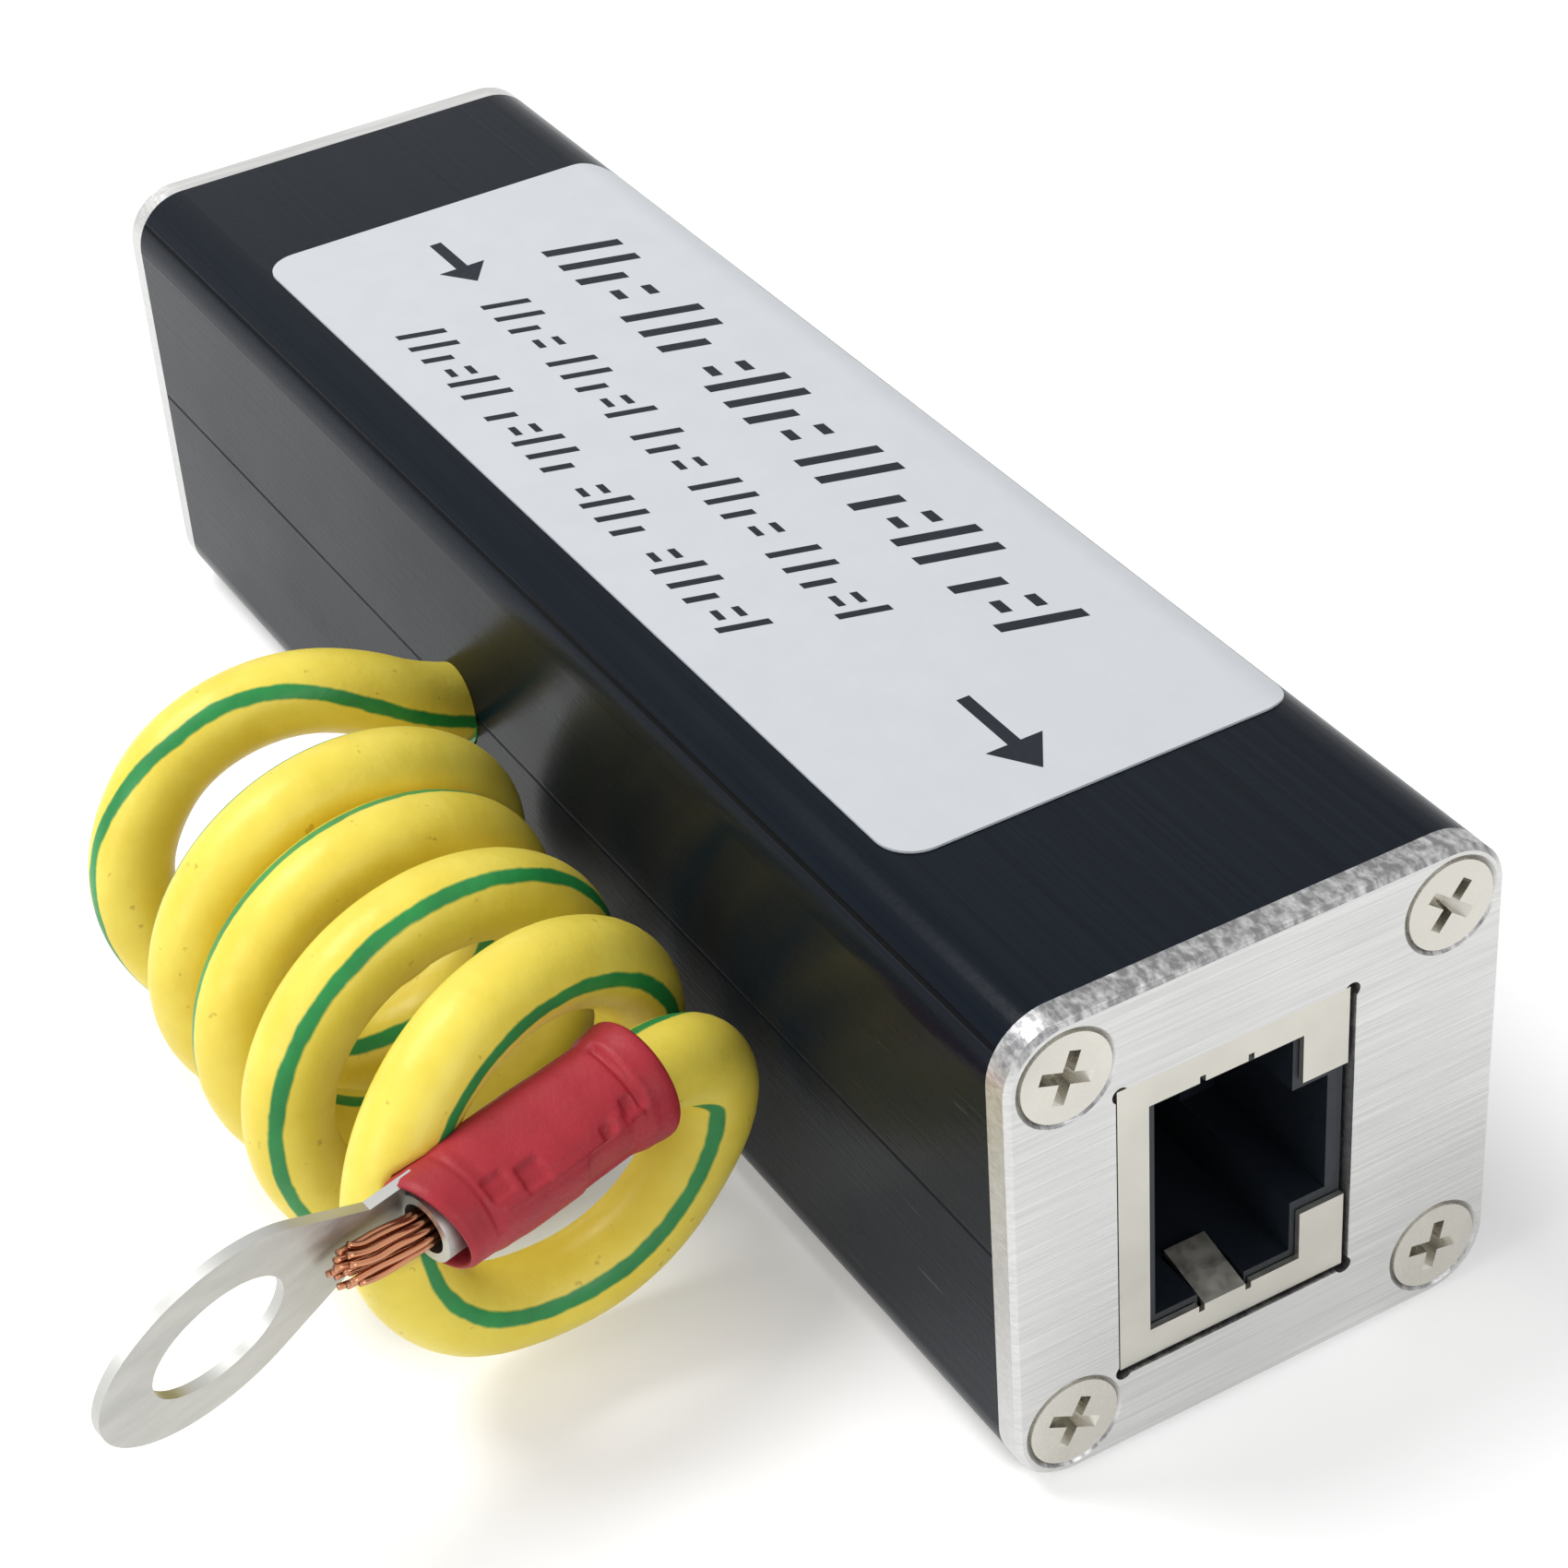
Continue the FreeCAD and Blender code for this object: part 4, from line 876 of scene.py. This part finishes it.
def anodisedFinish():
    finish, shader = startFinish("black_anodised_tube", housing["colours"][0], 0.0,
                                 housing["plainRoughness"])
    shader.inputs["Specular IOR Level"].default_value = housing["specular"]
    along, _, up = axisPlaces(finish)
    drawn = addGrain(finish, housing["drawnGrain"], 4)
    cloud = addGrain(finish, housing["cloudGrain"])
    specks = addEvenGrain(finish, housing["speckGrain"], 2)
    colour = blendColours(finish, drawn, *housing["colours"])
    # mask of the dark lines; the upper line is painted shade, a painted break in the rounded
    # edge's reflection, sunk a little in the relief
    lineMask = None
    for level, half, depth in housing["darkLines"]:
        mask = addMath(finish, "MULTIPLY", bandMask(finish, up, level, half, half), depth)
        lineMask = mask if lineMask is None else addMath(finish, "MAXIMUM", lineMask, mask)
    rubbed = spread(finish, addGrain(finish, housing["rubbedGrain"], 1), 0.0, 1.0,
                    *housing["rubbedPart"])
    patch = addMath(finish, "MULTIPLY", bandMask(finish, along, *housing["rubbedAlong"]),
                    bandMask(finish, up, *housing["rubbedUp"]))
    rubbed = addMath(finish, "MULTIPLY", rubbed, patch)
    worn = mixColours(finish, addMath(finish, "MULTIPLY", rubbed, housing["rubbedCover"]),
                      colour, housing["rubbedColour"])
    # the dark lines are painted into the colour here; the upper one is painted shade
    join(finish, mixColours(finish, lineMask, worn, housing["lineColour"]),
         shader.inputs["Base Color"])
    rough = addMath(finish, "ADD", spread(finish, cloud, *housing["roughness"]),
                    addMath(finish, "MULTIPLY", lineMask, housing["lineRoughness"]))
    join(finish, rough, shader.inputs["Roughness"])
    grained = addMath(finish, "ADD", drawn,
                      addMath(finish, "MULTIPLY", specks, housing["speckRise"]))
    heights = addMath(finish, "ADD", grained,
                      addMath(finish, "MULTIPLY", lineMask, housing["lineRise"]))
    addRelief(finish, shader, heights, housing["relief"])
    return finish


plate = {
    "plain": (0.66, 0.66, 0.65),
    "plainRoughness": 0.36,
    # grains a metre along X, Y and Z: of the brushed lines, the clouds and the chips
    "lineGrain": (3000, 110, 8200),
    "cloudGrain": (200, 120, 120),
    "chipGrain": (1500, 2600, 1500),
    "lines": ((0.54, 0.54, 0.53), (0.70, 0.70, 0.69)),
    "cloud": (0.50, 0.50, 0.50),
    "cloudCover": 0.25,
    # the filed edge: how far it faces away from the plate's front, how far it
    # faces up, and where along X it starts
    "filedAway": (0.75, 0.92),
    "filedUp": (0.25, 0.5),
    "filedFrom": (-1.0, 1.0),
    "chips": ((0.21, 0.21, 0.215), (0.56, 0.56, 0.56)),
    "chipPart": (0.40, 0.72),
    "roughness": (0.30, 0.46),
    "relief": 0.00002,
}


def brushedFinish():
    finish, shader = startFinish("brushed_plate", plate["plain"], 1.0,
                                 plate["plainRoughness"])
    lines = addGrain(finish, plate["lineGrain"], 4)
    cloud = addGrain(finish, plate["cloudGrain"], 2)
    light = blendColours(finish, lines, *plate["lines"])
    face = mixColours(finish, spread(finish, cloud, 0.0, plate["cloudCover"]), light,
                      plate["cloud"])
    # the upper edge of the plate at +X is filed dark, with bright chips
    place = addNode(finish, "ShaderNodeTexCoord")
    ways = addNode(finish, "ShaderNodeSeparateXYZ", Vector=place.outputs["Normal"])
    level = addMath(finish, "ABSOLUTE", ways.outputs["X"])
    filed = addMath(finish, "MULTIPLY", spread(finish, level, 1.0, 0.0, *plate["filedAway"]),
                    spread(finish, ways.outputs["Z"], 0.0, 1.0, *plate["filedUp"]))
    filed = addMath(finish, "MULTIPLY", filed,
                    spread(finish, axisPlaces(finish)[0], 0.0, 1.0, *plate["filedFrom"]))
    chips = blendColours(finish, addGrain(finish, plate["chipGrain"]), *plate["chips"],
                         *plate["chipPart"])
    join(finish, mixColours(finish, filed, face, chips), shader.inputs["Base Color"])
    join(finish, spread(finish, lines, *plate["roughness"]), shader.inputs["Roughness"])
    addRelief(finish, shader, lines, plate["relief"])
    return finish


plating = {
    # grains a metre, the dark clouds' share of the colour, and the roughness's swing
    "wearGrain": 1400,
    "cloudGrain": 160,
    "clouding": 0.84,
    "swing": (-0.06, 0.08),
    "relief": 0.000006,
}


def platedFinish(name, colour, roughness):
    finish, shader = startFinish(name, colour, 1.0, roughness)
    wear = addEvenGrain(finish, plating["wearGrain"], 4)
    cloud = addEvenGrain(finish, plating["cloudGrain"], 2)
    dark = tuple(part * plating["clouding"] for part in colour)
    join(finish, blendColours(finish, cloud, dark, colour), shader.inputs["Base Color"])
    low, high = (roughness + swing for swing in plating["swing"])
    join(finish, spread(finish, wear, low, high), shader.inputs["Roughness"])
    addRelief(finish, shader, wear, plating["relief"])
    return finish


moulding = {
    "grain": 3200,
    "cloudGrain": 420,
    "swing": (-0.05, 0.08),
}


def mouldedFinish(name, colour, roughness, depth=0.00001, specular=0.4, clouding=0.82):
    finish, shader = startFinish(name, colour, 0.0, roughness)
    shader.inputs["Specular IOR Level"].default_value = specular
    grain = addEvenGrain(finish, moulding["grain"])
    cloud = addEvenGrain(finish, moulding["cloudGrain"])
    dark = tuple(part * clouding for part in colour)
    join(finish, blendColours(finish, cloud, dark, colour), shader.inputs["Base Color"])
    low, high = (roughness + swing for swing in moulding["swing"])
    join(finish, spread(finish, grain, low, high), shader.inputs["Roughness"])
    addRelief(finish, shader, grain, depth)
    return finish


tin = {
    "plain": (0.60, 0.60, 0.57),
    "plainRoughness": 0.42,
    "dull": ((0.43, 0.43, 0.41), (0.54, 0.54, 0.515)),
    "edge": (0.50, 0.50, 0.48),
    # how far a surface faces the front where it turns from cut edge to rolled face
    "edgePart": (0.35, 0.75),
    "grain": (900, 260, 900),
    "roughness": (0.40, 0.52),
    # how much less rough the edge is
    "edgeShine": 0.04,
    "relief": 0.000012,
}


def terminalFinish():
    # the rolled faces are dull, and the cut edge round the sheet is a little smoother
    finish, shader = startFinish("tinned_terminal", tin["plain"], 1.0, tin["plainRoughness"])
    place = addNode(finish, "ShaderNodeTexCoord")
    facing = addNode(finish, "ShaderNodeVectorMath", {"operation": "DOT_PRODUCT"})
    join(finish, place.outputs["Normal"], facing.inputs[0])
    facing.inputs[1].default_value = terminalFrame()[1]
    edge = spread(finish, addMath(finish, "ABSOLUTE", facing.outputs["Value"]), 1.0, 0.0,
                  *tin["edgePart"])
    rolled = addGrain(finish, tin["grain"])
    dull = blendColours(finish, rolled, *tin["dull"])
    join(finish, mixColours(finish, edge, dull, tin["edge"]), shader.inputs["Base Color"])
    rough = addMath(finish, "SUBTRACT", spread(finish, rolled, *tin["roughness"]),
                    addMath(finish, "MULTIPLY", edge, tin["edgeShine"]))
    join(finish, rough, shader.inputs["Roughness"])
    addRelief(finish, shader, rolled, tin["relief"])
    return finish


# one finish for each material slot of the record; a relief's depth is in metres
finishes = {
    "black_aluminium": anodisedFinish(),
    "bright_aluminium": brushedFinish(),
    "nickel_steel": platedFinish("nickel_screw", (0.66, 0.64, 0.58), 0.26),
    "label_film": mouldedFinish("label_film", (0.565, 0.59, 0.62), 0.36, depth=0.000004,
                                specular=0.35, clouding=0.965),
    "board_laminate": mouldedFinish("board_laminate", (0.02, 0.16, 0.07), 0.42),
    "shield_tin": platedFinish("tinned_shield", (0.65, 0.635, 0.57), 0.36),
    "black_plastic": mouldedFinish("black_moulding", (0.010, 0.014, 0.021), 0.40),
    "contact_metal": platedFinish("gilded_contact", (0.80, 0.62, 0.32), 0.22),
    "tube_ceramic": mouldedFinish("glazed_ceramic", (0.75, 0.74, 0.70), 0.30),
    "diode_case": mouldedFinish("diode_moulding", (0.03, 0.03, 0.032), 0.45),
    "wire_jacket": jacketFinish(),
    "copper": platedFinish("bare_copper", (0.60, 0.27, 0.15), 0.20),
    "solder": platedFinish("solder_joint", (0.66, 0.67, 0.68), 0.25),
    "terminal_tin": terminalFinish(),
    "red_sleeve": mouldedFinish("red_sleeve", (0.39, 0.025, 0.038), 0.48, depth=0.00003,
                                specular=0.28),
}
printInk = mouldedFinish("print_ink", (0.010, 0.014, 0.021), 0.5, depth=0.000004,
                         specular=0.15)


def dressNodes():
    # every solid of the frame takes the finish of its slot in the record
    slots = {row["node"]: row["material_slot"] for row in frame["record"]["subparts"]}
    for name, thing in frame["nodes"].items():
        finish = finishes[slots[name]]
        for number in range(len(thing.data.materials)):
            thing.data.materials[number] = finish
        if not thing.data.materials:
            thing.data.materials.append(finish)


dressNodes()
print("finishes set")

wirePiece, wirePlaces, wireLength = buildWire(finishes["wire_jacket"])
sleevePiece = buildSleeve(finishes["red_sleeve"])
strandPiece = buildStrands(finishes["copper"])
print("wire, sleeve and strands built")

buildPrint(printInk)
print("print built")
